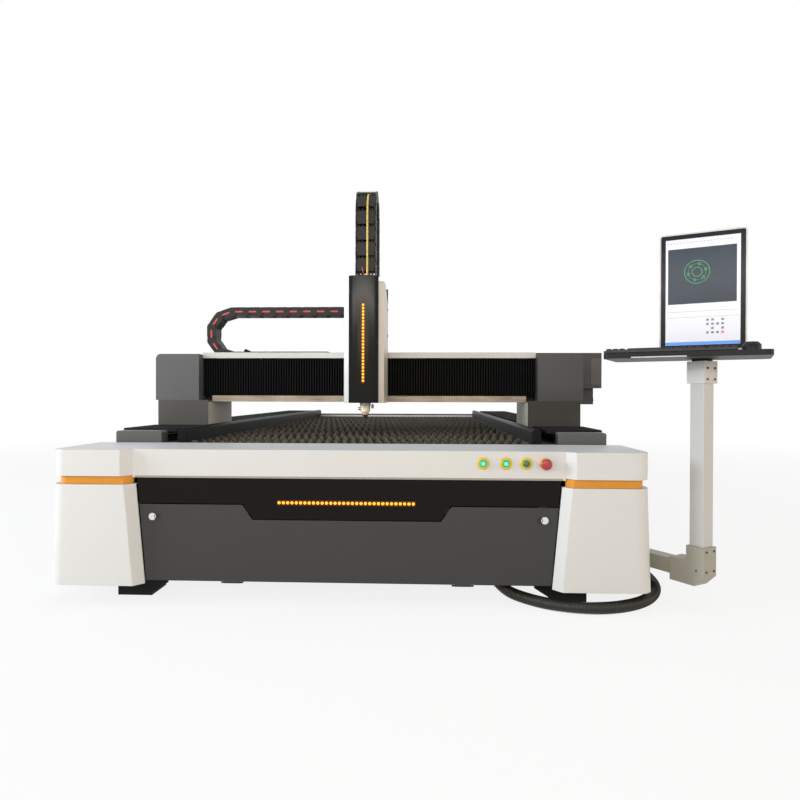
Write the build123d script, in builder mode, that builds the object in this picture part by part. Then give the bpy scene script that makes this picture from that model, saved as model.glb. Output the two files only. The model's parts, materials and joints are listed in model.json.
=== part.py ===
"""Fiber laser cutting machine with a gantry over a slat bed, in millimetres.

The origin is on the floor, in the middle of the pattern of anchor holes in the four corner feet.
+X is the operator's right, +Y runs from the front to the rear, +Z is up.
"""

import math
import os

from build123d import *

os.makedirs("parts", exist_ok=True)

# Main sizes
bed_half_width = 1100.0
foot_pitch_y = 3760.0
cover_top = 600.0

# Clearances
running_gap = 0.3
panel_gap = 4.0
wall = 3.0

# Feet and the anchor holes that fix the frame of reference
foot_x = bed_half_width - 230.0
foot_width = 140.0
foot_height = 76.0
foot_plate = 12.0
foot_gusset = 64.0
anchor_radius = 9.0
foot_from_front = 200.0
foot_from_rear = 140.0
front_y = -foot_pitch_y / 2 - foot_from_front
foot_rows = (-foot_pitch_y / 2, 0.0, foot_pitch_y / 2)

# Bed
side_beam_width = 325.0
bed_inner = bed_half_width - side_beam_width
beam_height = 217.0
beam_top = cover_top - wall
beam_bottom = beam_top - beam_height
beam_wall = 10.0
bed_front = front_y + 60.0
bed_rear = foot_pitch_y / 2 + foot_from_rear
leg_width = 120.0
leg_outside = foot_x + leg_width / 2
cross_width = 80.0
cross_height = 84.0

# Corner covers
cover_depth = 386.0
cover_overhang = 47.0
cover_width = 309.0
cover_flare = 13.0
stripe_step = 14.0
cover_taper = 36.0
upper_outer = bed_half_width + cover_overhang
lower_outer = upper_outer + cover_flare
upper_inner = upper_outer - cover_width
lower_inner_top = upper_inner - stripe_step
lower_inner_bottom = lower_inner_top - cover_taper
bevel_width = 31.0
bevel_depth = 39.0
corner_radius = 60.0
upper_cover_height = 102.0
stripe_height = 32.0
stripe_recess = 18.0
upper_bottom = cover_top - upper_cover_height
stripe_bottom = upper_bottom - stripe_height
skirt_bottom = foot_height

# Centre cover, black panel and front door
band_depth = 40.0
band_height = 110.0
panel_depth = 45.0
panel_height = 101.0
dip_depth = 58.0
dip_slope = 40.0
dip_half_top = 402.0
dip_half_bottom = dip_half_top - dip_slope
lip_bottom = cover_top - band_height
panel_bottom = lip_bottom - panel_height
dip_bottom = panel_bottom - dip_depth
door_thickness = 18.0
door_sheet = 6.0
lock_radius = 14.0
lock_flange = 3.0
lock_x = lower_inner_bottom - 2 * lock_radius
lock_z = panel_bottom - 52.0
cam_length = 64.0
cam_width = 20.0
hinge_pin_radius = 5.0
knuckle_radius = 12.0
knuckle_length = 60.0
knuckle_places = (-450.0, 450.0)
ear_thickness = 12.0
strip_half_length = 268.0
strip_height = 20.0
strip_z = panel_bottom + 7.0
strip_depth = 4.0

# Buttons, each placed from the inner edge of the right corner cover
button_z = cover_top - 46.0
ring_radius = 23.0
ring_depth = 9.0
ring_chamfer = 3.0
lens_radius = 13.0
lens_proud = 6.0
button_travel = 4.0
stem_radius = 9.0
stem_length = 25.0
mushroom_radius = 21.0
mushroom_height = 22.0
button_places = {
    "start_button": upper_inner - 313.0,
    "ready_button": upper_inner - 227.0,
    "reset_button": upper_inner - 150.0,
    "emergency_stop": upper_inner - 78.0,
}

# Slats
slat_count = 28
slat_first = front_y + 470.0
slat_last = bed_rear - 160.0
slat_thickness = 5.0
slat_height = 100.0
slat_tip = cover_top + 4.0
tooth_count = 20
tooth_depth = 26.0
ledge_thickness = 10.0

# Scrap drawers and their runners
drawer_low = 96.0
drawer_height = 190.0
drawer_half_x = foot_x - 180.0
drawer_wall = 4.0
drawer_front_x = -bed_half_width
runner_size = 30.0
pull_half = 90.0
pull_reach = 41.0
pull_radius = 16.0
pull_thickness = 10.0

# Rails, racks and their covers
rail_x = bed_half_width - 150.0
rail_width = 30.0
rail_height = 25.0
rail_front = front_y + 440.0
rail_end = bed_rear - 10.0
rack_face = bed_half_width - 50.0
rack_size = 25.0
guard_outer = bed_inner + 41.0
guard_height = 66.0
guard_chamfer = 10.0
guard_seam = front_y + 1300.0
guard_rear = bed_rear - 40.0
rail_bellows_inner = bed_half_width - 250.0
rail_bellows_depth = 16.0
end_box_inner = bed_half_width - 210.0
end_box_front = front_y + 430.0
end_box_depth = 70.0
end_box_height = 52.0
end_box_chamfer = 6.0

# Gantry
leg_front = front_y + 850.0
leg_depth = 390.0
leg_outer = bed_half_width - 12.0
leg_inner = leg_outer - 264.0
leg_bottom = cover_top + 40.0
leg_height = 146.0
leg_top = leg_bottom + leg_height
leg_chamfer = 10.0
motor_cover_outer = leg_outer + 13.0
motor_cover_inner = motor_cover_outer - 228.0
gantry_beam_front = leg_front + 110.0
gantry_beam_rear = leg_front + leg_depth
gantry_beam_height = 218.0
gantry_beam_top = leg_top + gantry_beam_height
motor_cover_top = gantry_beam_top + 22.0
motor_cover_radius = 26.0
top_cover_rise = 33.0
top_cover_top = gantry_beam_top + top_cover_rise
cover_slot_rear = leg_front + 255.0
pinion_radius = 24.0
pinion_teeth = 20
pinion_width = 20.0
motor_size = 100.0
motor_height = 130.0
motor_chamfer = 9.0
motor_clearance = 15.7
pinion_x = rack_face - running_gap - pinion_radius
shaft_radius = 10.0
gantry_beam_half = pinion_x - motor_size / 2 - motor_clearance
beam_rail_z = (leg_top + 54.0, gantry_beam_top - 34.0)
beam_rail_size = 22.0
beam_rail_margin = 90.0
beam_rack_z = gantry_beam_top - 84.0
bellows_front = leg_front + 62.0
bellows_fold = 22.0
strip_lip = 24.0
strip_fold = 8.0
bellows_low = leg_top + strip_lip + running_gap
bellows_sheet = 2.0
beam_fold_count = 18
block_length = 110.0
block_inset = 70.0

# Carriage and head
carriage_x = 6.0
head_front = leg_front - 230.0
head_half = 71.0
side_cover = 26.0
rear_side_extra = 4.0
head_bottom = leg_top - 10.0
head_height = 610.0
head_top = head_bottom + head_height
head_depth = 60.0
side_top = head_top - 23.0
plate_thickness = 12.0
head_axis_y = leg_front - 115.0
nozzle_tip = head_bottom - 80.0
collar_low = head_bottom - 15.0
sensor_low = collar_low - 29.0
slide_plate_height = 300.0
z_motor_size = 70.0
z_motor_height = 84.0

# Cable chains: a link's pitch, height, width and side plate
link_pitch = 77.0
link_height = 50.0
link_width = 100.0
link_plate = 8.0
x_chain_bend_x = carriage_x - 791.0
x_bend_links = 5
z_chain_top = head_top + 456.0
z_bend_links = 4
y_chain_low = cover_top - 60.0
y_chain_x = bed_half_width + 120.0
y_bend_links = 5
trough_wall = 4.0
trough_near = front_y + 1300.0

# Cable box behind the right end of the beam
cable_box_inner = motor_cover_inner - 148.0
cable_box_outer = y_chain_x + 80.0
cable_box_low = leg_top + 71.0
cable_box_high = gantry_beam_top + 53.0
cable_box_depth = 85.0

# Operator console
arm_tube = 60.0
arm_low = skirt_bottom + 36.0
arm_high = arm_low + arm_tube
arm_eye_radius = arm_tube / 2
arm_pin_radius = 12.0
lug_thickness = 16.0
lug_plate_x = lower_outer + 1.0
outrigger_half = 30.0
arm_pivot_x = lug_plate_x + ear_thickness + arm_eye_radius + 2.0
arm_pivot_y = front_y + 330.0
post_x = arm_pivot_x + 154.0
post_y = arm_pivot_y - 250.0
elbow_low = arm_low - 22.0
elbow_high = arm_low + 129.0
elbow_half = 38.0
elbow_reach = 110.0
post_top = elbow_high + 619.0
tray_low = post_top + 93.0
tray_thickness = 20.0
tray_length = 560.0
tray_depth = 290.0
tray_yaw = 26.4
monitor_width = 300.0
monitor_height = 450.0
monitor_low = tray_low + tray_thickness + 12.0
monitor_depth = 46.0
bezel = 22.0

# Cable hose on the floor
hose_radius = 23.0


def bend_radius(links):
    """Returns the radius of the circle through the pins of a chain's half turn."""
    return link_pitch / 2 / math.sin(math.pi / 2 / links)


def block(x, y, z, mode=Mode.ADD):
    """Adds or cuts a straight block that spans three (low, high) pairs."""
    sizes = [high - low for low, high in (x, y, z)]
    with Locations(Vector(*[(low + high) / 2 for low, high in (x, y, z)])):
        Box(*sizes, mode=mode)


def both_sides(piece):
    """Returns a piece of the right side with its mirror image on the left side."""
    return Compound(children=[piece.part, piece.part.mirror(Plane.YZ)])


def save(piece, name):
    """Labels a finished piece and writes its file."""
    piece.label = name
    export_step(piece, f"parts/{name}.step")


def front_plane(y):
    """Returns an upright plane that faces the operator, with local axes X and Z."""
    return Plane.XZ.offset(-y)


# Side beams: closed box sections that carry the rails
with BuildPart() as side_beam:
    with BuildSketch(front_plane(bed_front)):
        with Locations(((bed_inner + bed_half_width) / 2, beam_top - beam_height / 2)):
            Rectangle(bed_half_width - bed_inner, beam_height)
            Rectangle(
                bed_half_width - bed_inner - 2 * beam_wall,
                beam_height - 2 * beam_wall,
                mode=Mode.SUBTRACT,
            )
    extrude(amount=bed_front - bed_rear)
save(both_sides(side_beam), "side_beams")

# Cross members between the beams, an apron and a sill at the front, and the legs
apron_back = front_y + panel_depth + wall + cross_width
apron_low = beam_bottom + 25.0
sill_front = front_y + 80.0
sill_top = skirt_bottom + 40.0
hinge_z = skirt_bottom + knuckle_radius
door_front = front_y + panel_depth
hinge_y = door_front + knuckle_radius
with BuildPart() as cross_members:
    for row in foot_rows:
        block(
            (-bed_inner, bed_inner),
            (row - cross_width / 2, row + cross_width / 2),
            (beam_bottom, beam_bottom + cross_height),
        )
    block((-bed_inner, bed_inner), (apron_back - cross_width, apron_back), (apron_low, lip_bottom))
with BuildPart() as sill:
    block((-leg_outside, leg_outside), (sill_front, foot_rows[0] - leg_width / 2), (skirt_bottom, sill_top))
ears = []
for knuckle_x in knuckle_places:
    for side in (-1, 1):
        ear_inner = knuckle_x + side * (knuckle_length / 2 + running_gap)
        with BuildPart() as ear:
            block(
                sorted((ear_inner, ear_inner + side * ear_thickness)),
                (hinge_y + running_gap, sill_front),
                (hinge_z - knuckle_radius, hinge_z + knuckle_radius),
            )
            with BuildSketch(Plane.YZ.offset(ear_inner - ear_thickness)):
                with Locations((hinge_y, hinge_z)):
                    Circle(hinge_pin_radius)
            extrude(amount=2 * ear_thickness, mode=Mode.SUBTRACT)
        ears.append(ear.part)
bed_legs = []
for row in foot_rows:
    with BuildPart() as bed_leg:
        block(
            (foot_x - leg_width / 2, leg_outside),
            (row - leg_width / 2, row + leg_width / 2),
            (foot_height, beam_bottom),
        )
    bed_legs += [bed_leg.part, bed_leg.part.mirror(Plane.YZ)]
save(
    Compound(children=list(cross_members.part.solids()) + [sill.part] + ears + bed_legs),
    "bed_cross_members",
)

# Feet: base plate, top plate and two webs with a gusset towards the middle
with BuildPart() as foot:
    for low in (0.0, foot_height - foot_plate):
        inner = foot_x - foot_width / 2 - (foot_gusset if low > 0 else 0)
        block(
            (inner, foot_x + foot_width / 2),
            (-foot_width / 2, foot_width / 2),
            (low, low + foot_plate),
        )
    for web_y in (-foot_width / 2 + foot_plate, foot_width / 2):
        with BuildSketch(front_plane(web_y)):
            with BuildLine():
                Polyline(
                    (foot_x - foot_width / 2, foot_plate),
                    (foot_x + foot_width / 2, foot_plate),
                    (foot_x + foot_width / 2, foot_height - foot_plate),
                    (foot_x - foot_width / 2 - foot_gusset, foot_height - foot_plate),
                    (foot_x - foot_width / 2 - foot_gusset, foot_height - 2 * foot_plate),
                    close=True,
                )
            make_face()
        extrude(amount=foot_plate)
    with Locations((foot_x, 0, foot_plate)):
        Cylinder(
            anchor_radius,
            3 * foot_plate,
            mode=Mode.SUBTRACT,
        )
feet = []
for row in foot_rows:
    moved = foot.part.moved(Location((0, row, 0)))
    feet += [moved, moved.mirror(Plane.YZ)]
save(Compound(children=feet), "feet")

# Slats with saw teeth, standing across the bed
slat_half = bed_inner - ledge_thickness - running_gap
tooth_pitch = 2 * slat_half / tooth_count
slat_low = slat_tip - slat_height
slat_outline = [(-slat_half, slat_low)]
for tooth in range(tooth_count):
    start = -slat_half + tooth * tooth_pitch
    slat_outline += [(start, slat_tip - tooth_depth), (start + tooth_pitch / 2, slat_tip)]
slat_outline += [(slat_half, slat_tip - tooth_depth), (slat_half, slat_low)]
with BuildPart() as slat:
    with BuildSketch(front_plane(0)):
        with BuildLine():
            Polyline(*slat_outline, close=True)
        make_face()
    extrude(amount=slat_thickness / 2, both=True)
slat_pitch = (slat_last - slat_first) / (slat_count - 1)
slat_places = [Location((0, slat_first + n * slat_pitch, 0)) for n in range(slat_count)]
save(Compound(children=[slat.part.moved(place) for place in slat_places]), "slats")

# Ledges under the slats, a spine under their middle, and the runners of the scrap drawers
drawer_bays = []
cover_back = front_y + cover_depth
for near, far in ((foot_rows[0], foot_rows[1]), (foot_rows[1], foot_rows[2])):
    bay_start = max(near + leg_width / 2, cover_back + panel_gap) + runner_size
    drawer_bays.append((bay_start, far - leg_width / 2 - runner_size))
runner_top = drawer_low - running_gap
with BuildPart() as ledge:
    with BuildSketch(front_plane(slat_first - slat_pitch / 2)):
        with BuildLine():
            Polyline(
                (bed_inner - 4 * ledge_thickness, slat_low - ledge_thickness),
                (bed_inner, slat_low - ledge_thickness),
                (bed_inner, slat_low + 3 * ledge_thickness),
                (bed_inner - ledge_thickness, slat_low + 3 * ledge_thickness),
                (bed_inner - ledge_thickness, slat_low),
                (bed_inner - 4 * ledge_thickness, slat_low),
                close=True,
            )
        make_face()
    extrude(amount=slat_first - slat_last - slat_pitch)
with BuildPart() as spine:
    block(
        (-cross_width / 2, cross_width / 2),
        (apron_back, foot_rows[2] + cross_width / 2),
        (beam_bottom + cross_height, slat_low),
    )
runners = []
hanger_places = (-bed_half_width + wall, leg_outside - 2 * runner_size)
for bay in drawer_bays:
    for edge, inward in ((bay[0], -1), (bay[1], 1)):
        y_pair = sorted((edge + inward * running_gap, edge + inward * runner_size))
        under = sorted((edge - inward * runner_size, edge + inward * runner_size))
        with BuildPart() as shelf:
            block((-bed_half_width + wall, leg_outside), under, (runner_top - wall, runner_top))
        with BuildPart() as runner_side:
            block((-bed_half_width + wall, leg_outside), y_pair, (runner_top, drawer_low + runner_size))
        with BuildPart() as hangers:
            for hanger_x in hanger_places:
                block(
                    (hanger_x, hanger_x + 2 * runner_size),
                    y_pair,
                    (drawer_low + runner_size, beam_bottom),
                )
        runners += [shelf.part, runner_side.part] + list(hangers.part.solids())
save(Compound(children=[ledge.part, ledge.part.mirror(Plane.YZ), spine.part] + runners), "bed_ledges")

# Scrap drawers, open at the top, with a bent pull on the front
for name, bay in zip(("front_drawer", "rear_drawer"), drawer_bays):
    with BuildPart() as drawer:
        block((drawer_front_x, drawer_half_x), bay, (drawer_low, drawer_low + drawer_height))
        block(
            (drawer_front_x + drawer_wall, drawer_half_x - drawer_wall),
            (bay[0] + drawer_wall, bay[1] - drawer_wall),
            (drawer_low + drawer_wall, drawer_low + drawer_height),
            mode=Mode.SUBTRACT,
        )
        block(
            (drawer_front_x - drawer_wall, drawer_front_x),
            (bay[0] - 0.8 * runner_size, bay[1] + 0.8 * runner_size),
            (drawer_low - 2 * drawer_wall, drawer_low + drawer_height + 4 * drawer_wall),
        )
        middle = (bay[0] + bay[1]) / 2
        with BuildSketch(Plane.XY.offset(drawer_low + drawer_height / 2)):
            with BuildLine():
                pull = FilletPolyline(
                    (drawer_front_x - drawer_wall, middle - pull_half),
                    (drawer_front_x - drawer_wall - pull_reach, middle - pull_half),
                    (drawer_front_x - drawer_wall - pull_reach, middle + pull_half),
                    (drawer_front_x - drawer_wall, middle + pull_half),
                    radius=pull_radius,
                )
                offset(pull, amount=pull_thickness / 2, side=Side.BOTH, closed=True)
            make_face()
        extrude(amount=pull_thickness / 2, both=True)
    save(drawer.part, name)

# White centre cover: top sheet, front band with its return lip, and the button holes
with BuildPart() as centre_cover:
    with BuildSketch(Plane.YZ.offset(-upper_inner)):
        with BuildLine():
            Polyline(
                (front_y + cover_depth, cover_top),
                (front_y + band_depth, cover_top),
                (front_y + band_depth, lip_bottom),
                (front_y + band_depth + 3 * wall, lip_bottom),
                (front_y + band_depth + 3 * wall, lip_bottom + wall),
                (front_y + band_depth + wall, lip_bottom + wall),
                (front_y + band_depth + wall, cover_top - wall),
                (front_y + cover_depth, cover_top - wall),
                close=True,
            )
        make_face()
    extrude(amount=2 * upper_inner)
    for button_x in button_places.values():
        with BuildSketch(front_plane(front_y + band_depth)):
            with Locations((button_x, button_z)):
                Circle(stem_radius + running_gap)
        extrude(amount=-2 * wall, mode=Mode.SUBTRACT)
save(centre_cover.part, "centre_cover")


def corner_plan(z, inset, inner, outer, back):
    """Returns a corner cover's plan at a height: bevel at the inner edge, round outer corner.

    An inset plan, which hollows the cover, runs past its open inner side.
    """
    slope = math.hypot(bevel_width, bevel_depth)
    inner_edge = inner - inset
    start_depth = bevel_depth + inset * (slope + bevel_depth) / bevel_width
    bevel_start = (inner_edge, front_y + start_depth)
    bevel_end = (inner + bevel_width + inset * (slope - bevel_width) / bevel_depth, front_y + inset)
    arc_start = (outer - corner_radius, front_y + inset)
    arc_end = (outer - inset, front_y + corner_radius)
    with BuildSketch(Plane.XY.offset(z)) as plan:
        with BuildLine():
            Polyline(bevel_start, bevel_end, arc_start)
            RadiusArc(arc_start, arc_end, -(corner_radius - inset))
            Polyline(arc_end, (outer - inset, back), (inner_edge, back), bevel_start)
        make_face()
    return plan.sketch


with BuildPart() as upper_cover:
    extrude(
        corner_plan(upper_bottom, 0, upper_inner, upper_outer, cover_back),
        amount=cover_top - upper_bottom,
    )
    extrude(
        corner_plan(upper_bottom, wall, upper_inner, upper_outer, cover_back),
        amount=cover_top - upper_bottom - wall,
        mode=Mode.SUBTRACT,
    )
save(both_sides(upper_cover), "upper_corner_covers")

with BuildPart() as stripe:
    extrude(
        corner_plan(stripe_bottom, stripe_recess, lower_inner_top, upper_outer, cover_back),
        amount=upper_bottom - stripe_bottom,
    )
    extrude(
        corner_plan(stripe_bottom, stripe_recess + 2 * wall, lower_inner_top, upper_outer, cover_back),
        amount=upper_bottom - stripe_bottom,
        mode=Mode.SUBTRACT,
    )
    block(
        (0, upper_inner),
        (front_y, cover_back),
        (stripe_bottom, upper_bottom),
        mode=Mode.SUBTRACT,
    )
save(both_sides(stripe), "corner_stripes")

with BuildPart() as lower_cover:
    loft(
        [
            corner_plan(skirt_bottom, 0, lower_inner_bottom, lower_outer, cover_back),
            corner_plan(stripe_bottom, 0, lower_inner_top, upper_outer, cover_back),
        ],
        ruled=True,
    )
    loft(
        [
            corner_plan(skirt_bottom, wall, lower_inner_bottom, lower_outer, cover_back),
            corner_plan(stripe_bottom - wall, wall, lower_inner_top, upper_outer, cover_back),
        ],
        ruled=True,
        mode=Mode.SUBTRACT,
    )
    block(
        (lower_inner_top - wall, bed_half_width + wall),
        (bed_front - wall, cover_back),
        (stripe_bottom - 2 * wall, stripe_bottom),
        mode=Mode.SUBTRACT,
    )
with BuildPart() as right_lower_cover:
    add(lower_cover.part)
    block(
        (upper_outer - 2 * wall, lower_outer + wall),
        (arm_pivot_y - outrigger_half - panel_gap, arm_pivot_y + outrigger_half + panel_gap),
        (arm_low - panel_gap, arm_low + arm_tube + panel_gap),
        mode=Mode.SUBTRACT,
    )
save(
    Compound(children=[right_lower_cover.part, lower_cover.part.mirror(Plane.YZ)]),
    "lower_corner_covers",
)


def opening_half(z, gap):
    """Returns half the clear width between the lower covers at a height."""
    share = (z - skirt_bottom) / (stripe_bottom - skirt_bottom)
    return lower_inner_bottom + share * (lower_inner_top - lower_inner_bottom) - gap


# Glossy black panel with its dip in the middle
with BuildPart() as black_panel:
    with BuildSketch(front_plane(front_y + panel_depth)):
        with BuildLine():
            Polyline(
                (-opening_half(panel_bottom, panel_gap), panel_bottom),
                (-dip_half_top, panel_bottom),
                (-dip_half_bottom, dip_bottom),
                (dip_half_bottom, dip_bottom),
                (dip_half_top, panel_bottom),
                (opening_half(panel_bottom, panel_gap), panel_bottom),
                (opening_half(lip_bottom, panel_gap), lip_bottom),
                (-opening_half(lip_bottom, panel_gap), lip_bottom),
                close=True,
            )
        make_face()
    extrude(amount=-wall)
save(black_panel.part, "black_front_panel")

# Amber light strip in the black panel
with BuildPart() as light_strip:
    block(
        (-strip_half_length, strip_half_length),
        (front_y + panel_depth - strip_depth, front_y + panel_depth),
        (strip_z - strip_height / 2, strip_z + strip_height / 2),
    )
save(light_strip.part, "front_light_strip")

# Front door: a folded tray that tips forwards on two pins along its lower edge
door_top = panel_bottom - panel_gap
with BuildPart() as door:
    with BuildSketch(front_plane(door_front)):
        with BuildLine():
            Polyline(
                (-opening_half(hinge_z, panel_gap), hinge_z),
                (opening_half(hinge_z, panel_gap), hinge_z),
                (opening_half(door_top, panel_gap), door_top),
                (dip_half_top + panel_gap, door_top),
                (dip_half_bottom + panel_gap, dip_bottom - panel_gap),
                (-dip_half_bottom - panel_gap, dip_bottom - panel_gap),
                (-dip_half_top - panel_gap, door_top),
                (-opening_half(door_top, panel_gap), door_top),
                close=True,
            )
        make_face()
    extrude(amount=-door_sheet)
    for knuckle_x in knuckle_places:
        with BuildSketch(Plane.YZ.offset(knuckle_x - knuckle_length / 2)):
            with Locations((hinge_y, hinge_z)):
                Circle(knuckle_radius)
        extrude(amount=knuckle_length)
        with BuildSketch(Plane.YZ.offset(knuckle_x - knuckle_length / 2)):
            with Locations((hinge_y, hinge_z)):
                Circle(hinge_pin_radius + running_gap)
        extrude(amount=knuckle_length, mode=Mode.SUBTRACT)
    for side in (-1, 1):
        with BuildSketch(front_plane(door_front)):
            with Locations((side * lock_x, lock_z)):
                Circle(lock_radius - lock_flange + running_gap)
        extrude(amount=-door_thickness, mode=Mode.SUBTRACT)
save(door.part, "front_door")

# Quarter-turn locks: a round head, a barrel and a cam behind the door
cam_y = door_front + door_sheet + running_gap
for name, side in (("left_lock", -1), ("right_lock", 1)):
    with BuildPart() as lock:
        with BuildSketch(front_plane(door_front - running_gap)):
            with Locations((side * lock_x, lock_z)):
                Circle(lock_radius)
        extrude(amount=wall)
        with BuildSketch(front_plane(door_front - running_gap)):
            with Locations((side * lock_x, lock_z)):
                Circle(lock_radius - lock_flange)
        extrude(amount=door_front - running_gap - cam_y)
        with BuildSketch(front_plane(cam_y)):
            with Locations((side * (lock_x - cam_width), lock_z)):
                Rectangle(cam_length, cam_width)
        extrude(amount=-wall)
    save(lock.part, name)

# Pins: two for the door, each between ears on a floor bar, and one for the console arm
with BuildPart() as door_pins:
    for knuckle_x in knuckle_places:
        with BuildSketch(Plane.YZ.offset(knuckle_x - knuckle_length / 2 - ear_thickness)):
            with Locations((hinge_y, hinge_z)):
                Circle(hinge_pin_radius)
        extrude(amount=knuckle_length + 2 * ear_thickness)
with BuildPart() as arm_pin:
    with BuildSketch(Plane.XY.offset(arm_low - lug_thickness - running_gap)):
        with Locations((arm_pivot_x, arm_pivot_y)):
            Circle(arm_pin_radius)
    extrude(amount=arm_tube + 2 * lug_thickness + 2 * running_gap)
save(Compound(children=door_pins.part.solids() + arm_pin.part.solids()), "hinge_pins")

# Button rings
ring_front = front_y + band_depth - ring_depth
with BuildPart() as rings:
    for button_x in button_places.values():
        with BuildSketch(front_plane(front_y + band_depth)):
            with Locations((button_x, button_z)):
                Circle(ring_radius)
        extrude(amount=ring_depth)
    chamfer(
        rings.faces().filter_by(Axis.Y).group_by(Axis.Y)[0].edges(),
        length=ring_chamfer,
    )
    for button_x in button_places.values():
        with BuildSketch(front_plane(front_y + band_depth)):
            with Locations((button_x, button_z)):
                Circle(lens_radius + running_gap)
        extrude(amount=ring_depth, mode=Mode.SUBTRACT)
save(rings.part, "button_rings")

# Push buttons with bevelled lenses, and the mushroom of the emergency stop
stem_end = front_y + band_depth + stem_length
for name, button_x in button_places.items():
    stop = name == "emergency_stop"
    head_radius = mushroom_radius if stop else lens_radius
    back_y = ring_front - button_travel - running_gap if stop else ring_front + button_travel / 2
    face_y = back_y - mushroom_height if stop else ring_front - lens_proud
    with BuildPart() as button:
        with BuildSketch(front_plane(face_y)):
            with Locations((button_x, button_z)):
                Circle(head_radius)
        extrude(amount=face_y - back_y)
        chamfer(button.faces().sort_by(Axis.Y)[0].edges(), length=head_radius / 4)
        with BuildSketch(front_plane(back_y)):
            with Locations((button_x, button_z)):
                Circle(stem_radius)
        extrude(amount=back_y - stem_end)
    save(button.part, name)

# Guide rails with the racks beside them
with BuildPart() as rail:
    block(
        (rail_x - rail_width / 2, rail_x + rail_width / 2),
        (rail_front + end_box_depth, rail_end - end_box_depth),
        (beam_top, beam_top + rail_height),
    )
with BuildPart() as rack:
    block(
        (rack_face, rack_face + rack_size),
        (rail_front + end_box_depth, rail_end - end_box_depth),
        (beam_top, beam_top + rack_size),
    )
save(
    Compound(
        children=[
            rail.part,
            rail.part.mirror(Plane.YZ),
            rack.part,
            rack.part.mirror(Plane.YZ),
        ]
    ),
    "gantry_rails",
)

# Black guards that keep sparks off the rails, each in two lengths
guard_parts = []
for near, far in ((end_box_front, guard_seam - running_gap), (guard_seam, guard_rear)):
    with BuildPart() as guard:
        with BuildSketch(front_plane(near)):
            with BuildLine():
                Polyline(
                    (bed_inner, beam_top),
                    (guard_outer, beam_top),
                    (guard_outer, beam_top + guard_height - guard_chamfer),
                    (guard_outer - guard_chamfer, beam_top + guard_height),
                    (bed_inner + guard_chamfer, beam_top + guard_height),
                    (bed_inner, beam_top + guard_height - guard_chamfer),
                    close=True,
                )
            make_face()
        extrude(amount=near - far)
    guard_parts += [guard.part, guard.part.mirror(Plane.YZ)]
save(Compound(children=guard_parts), "rail_guards")

# Boxes that close the ends of the rails
end_boxes = []
for near in (end_box_front, bed_rear - end_box_depth):
    with BuildPart() as end_box:
        block(
            (end_box_inner, bed_half_width),
            (near, near + end_box_depth),
            (beam_top, beam_top + end_box_height),
        )
        chamfer(end_box.edges().filter_by(Axis.Y).group_by(Axis.Z)[-1], length=end_box_chamfer)
    end_boxes += [end_box.part, end_box.part.mirror(Plane.YZ)]
save(Compound(children=end_boxes), "rail_end_boxes")

# Panels: two on the right side under the beam, one across the rear
panel_parts = []
panel_start = arm_pivot_y + outrigger_half + panel_gap
panel_joint = foot_rows[1]
panel_end = foot_rows[2] + leg_width / 2
for near, far in ((panel_start, panel_joint - panel_gap), (panel_joint, panel_end)):
    with BuildPart() as side_panel:
        block((leg_outside, leg_outside + wall), (near, far), (skirt_bottom, beam_bottom))
    panel_parts.append(side_panel.part)
with BuildPart() as rear_panel:
    block(
        (-bed_half_width, bed_half_width),
        (bed_rear, bed_rear + wall),
        (skirt_bottom, beam_top),
    )
panel_parts.append(rear_panel.part)
save(Compound(children=panel_parts), "bed_panels")

# Right side brackets: outrigger with lugs for the console arm, and the trough of the Y chain
trough_low = y_chain_low - link_height / 2 - running_gap
trough_side = 40.0
trough_half = link_width / 2 + 10.0
hold_length = 60.0
with BuildPart() as outrigger:
    block(
        (leg_outside, leg_outside + ear_thickness),
        (foot_rows[0] - leg_width / 2, arm_pivot_y + outrigger_half),
        (arm_low, arm_high),
    )
    block(
        (leg_outside + ear_thickness, lug_plate_x),
        (arm_pivot_y - outrigger_half, arm_pivot_y + outrigger_half),
        (arm_low, arm_high),
    )
    block(
        (lug_plate_x, lug_plate_x + ear_thickness),
        (arm_pivot_y - outrigger_half, arm_pivot_y + outrigger_half),
        (arm_low - lug_thickness - running_gap, arm_high + lug_thickness + running_gap),
    )
    for low in (arm_low - lug_thickness - running_gap, arm_high + running_gap):
        with BuildSketch(Plane.XY.offset(low)):
            with Locations(((lug_plate_x + arm_pivot_x) / 2, arm_pivot_y)):
                Rectangle(arm_pivot_x - lug_plate_x, 2 * arm_eye_radius)
            with Locations((arm_pivot_x, arm_pivot_y)):
                Circle(arm_eye_radius)
            with Locations((arm_pivot_x, arm_pivot_y)):
                Circle(arm_pin_radius, mode=Mode.SUBTRACT)
        extrude(amount=lug_thickness)
with BuildPart() as trough:
    with BuildSketch(front_plane(trough_near)):
        with BuildLine():
            Polyline(
                (y_chain_x - trough_half, trough_low + trough_side),
                (y_chain_x - trough_half, trough_low),
                (y_chain_x + trough_half, trough_low),
                (y_chain_x + trough_half, trough_low + trough_side),
                (y_chain_x + trough_half + trough_wall, trough_low + trough_side),
                (y_chain_x + trough_half + trough_wall, trough_low - trough_wall),
                (y_chain_x - trough_half - trough_wall, trough_low - trough_wall),
                (y_chain_x - trough_half - trough_wall, trough_low + trough_side),
                close=True,
            )
        make_face()
    extrude(amount=trough_near - bed_rear)
    for hold_y in (
        trough_near + hold_length,
        (trough_near + bed_rear) / 2,
        bed_rear - 2 * hold_length,
    ):
        block(
            (bed_half_width, y_chain_x - trough_half - trough_wall),
            (hold_y, hold_y + hold_length),
            (trough_low - trough_wall, trough_low + trough_side),
        )
save(Compound(children=[outrigger.part, trough.part]), "right_side_brackets")

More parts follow.
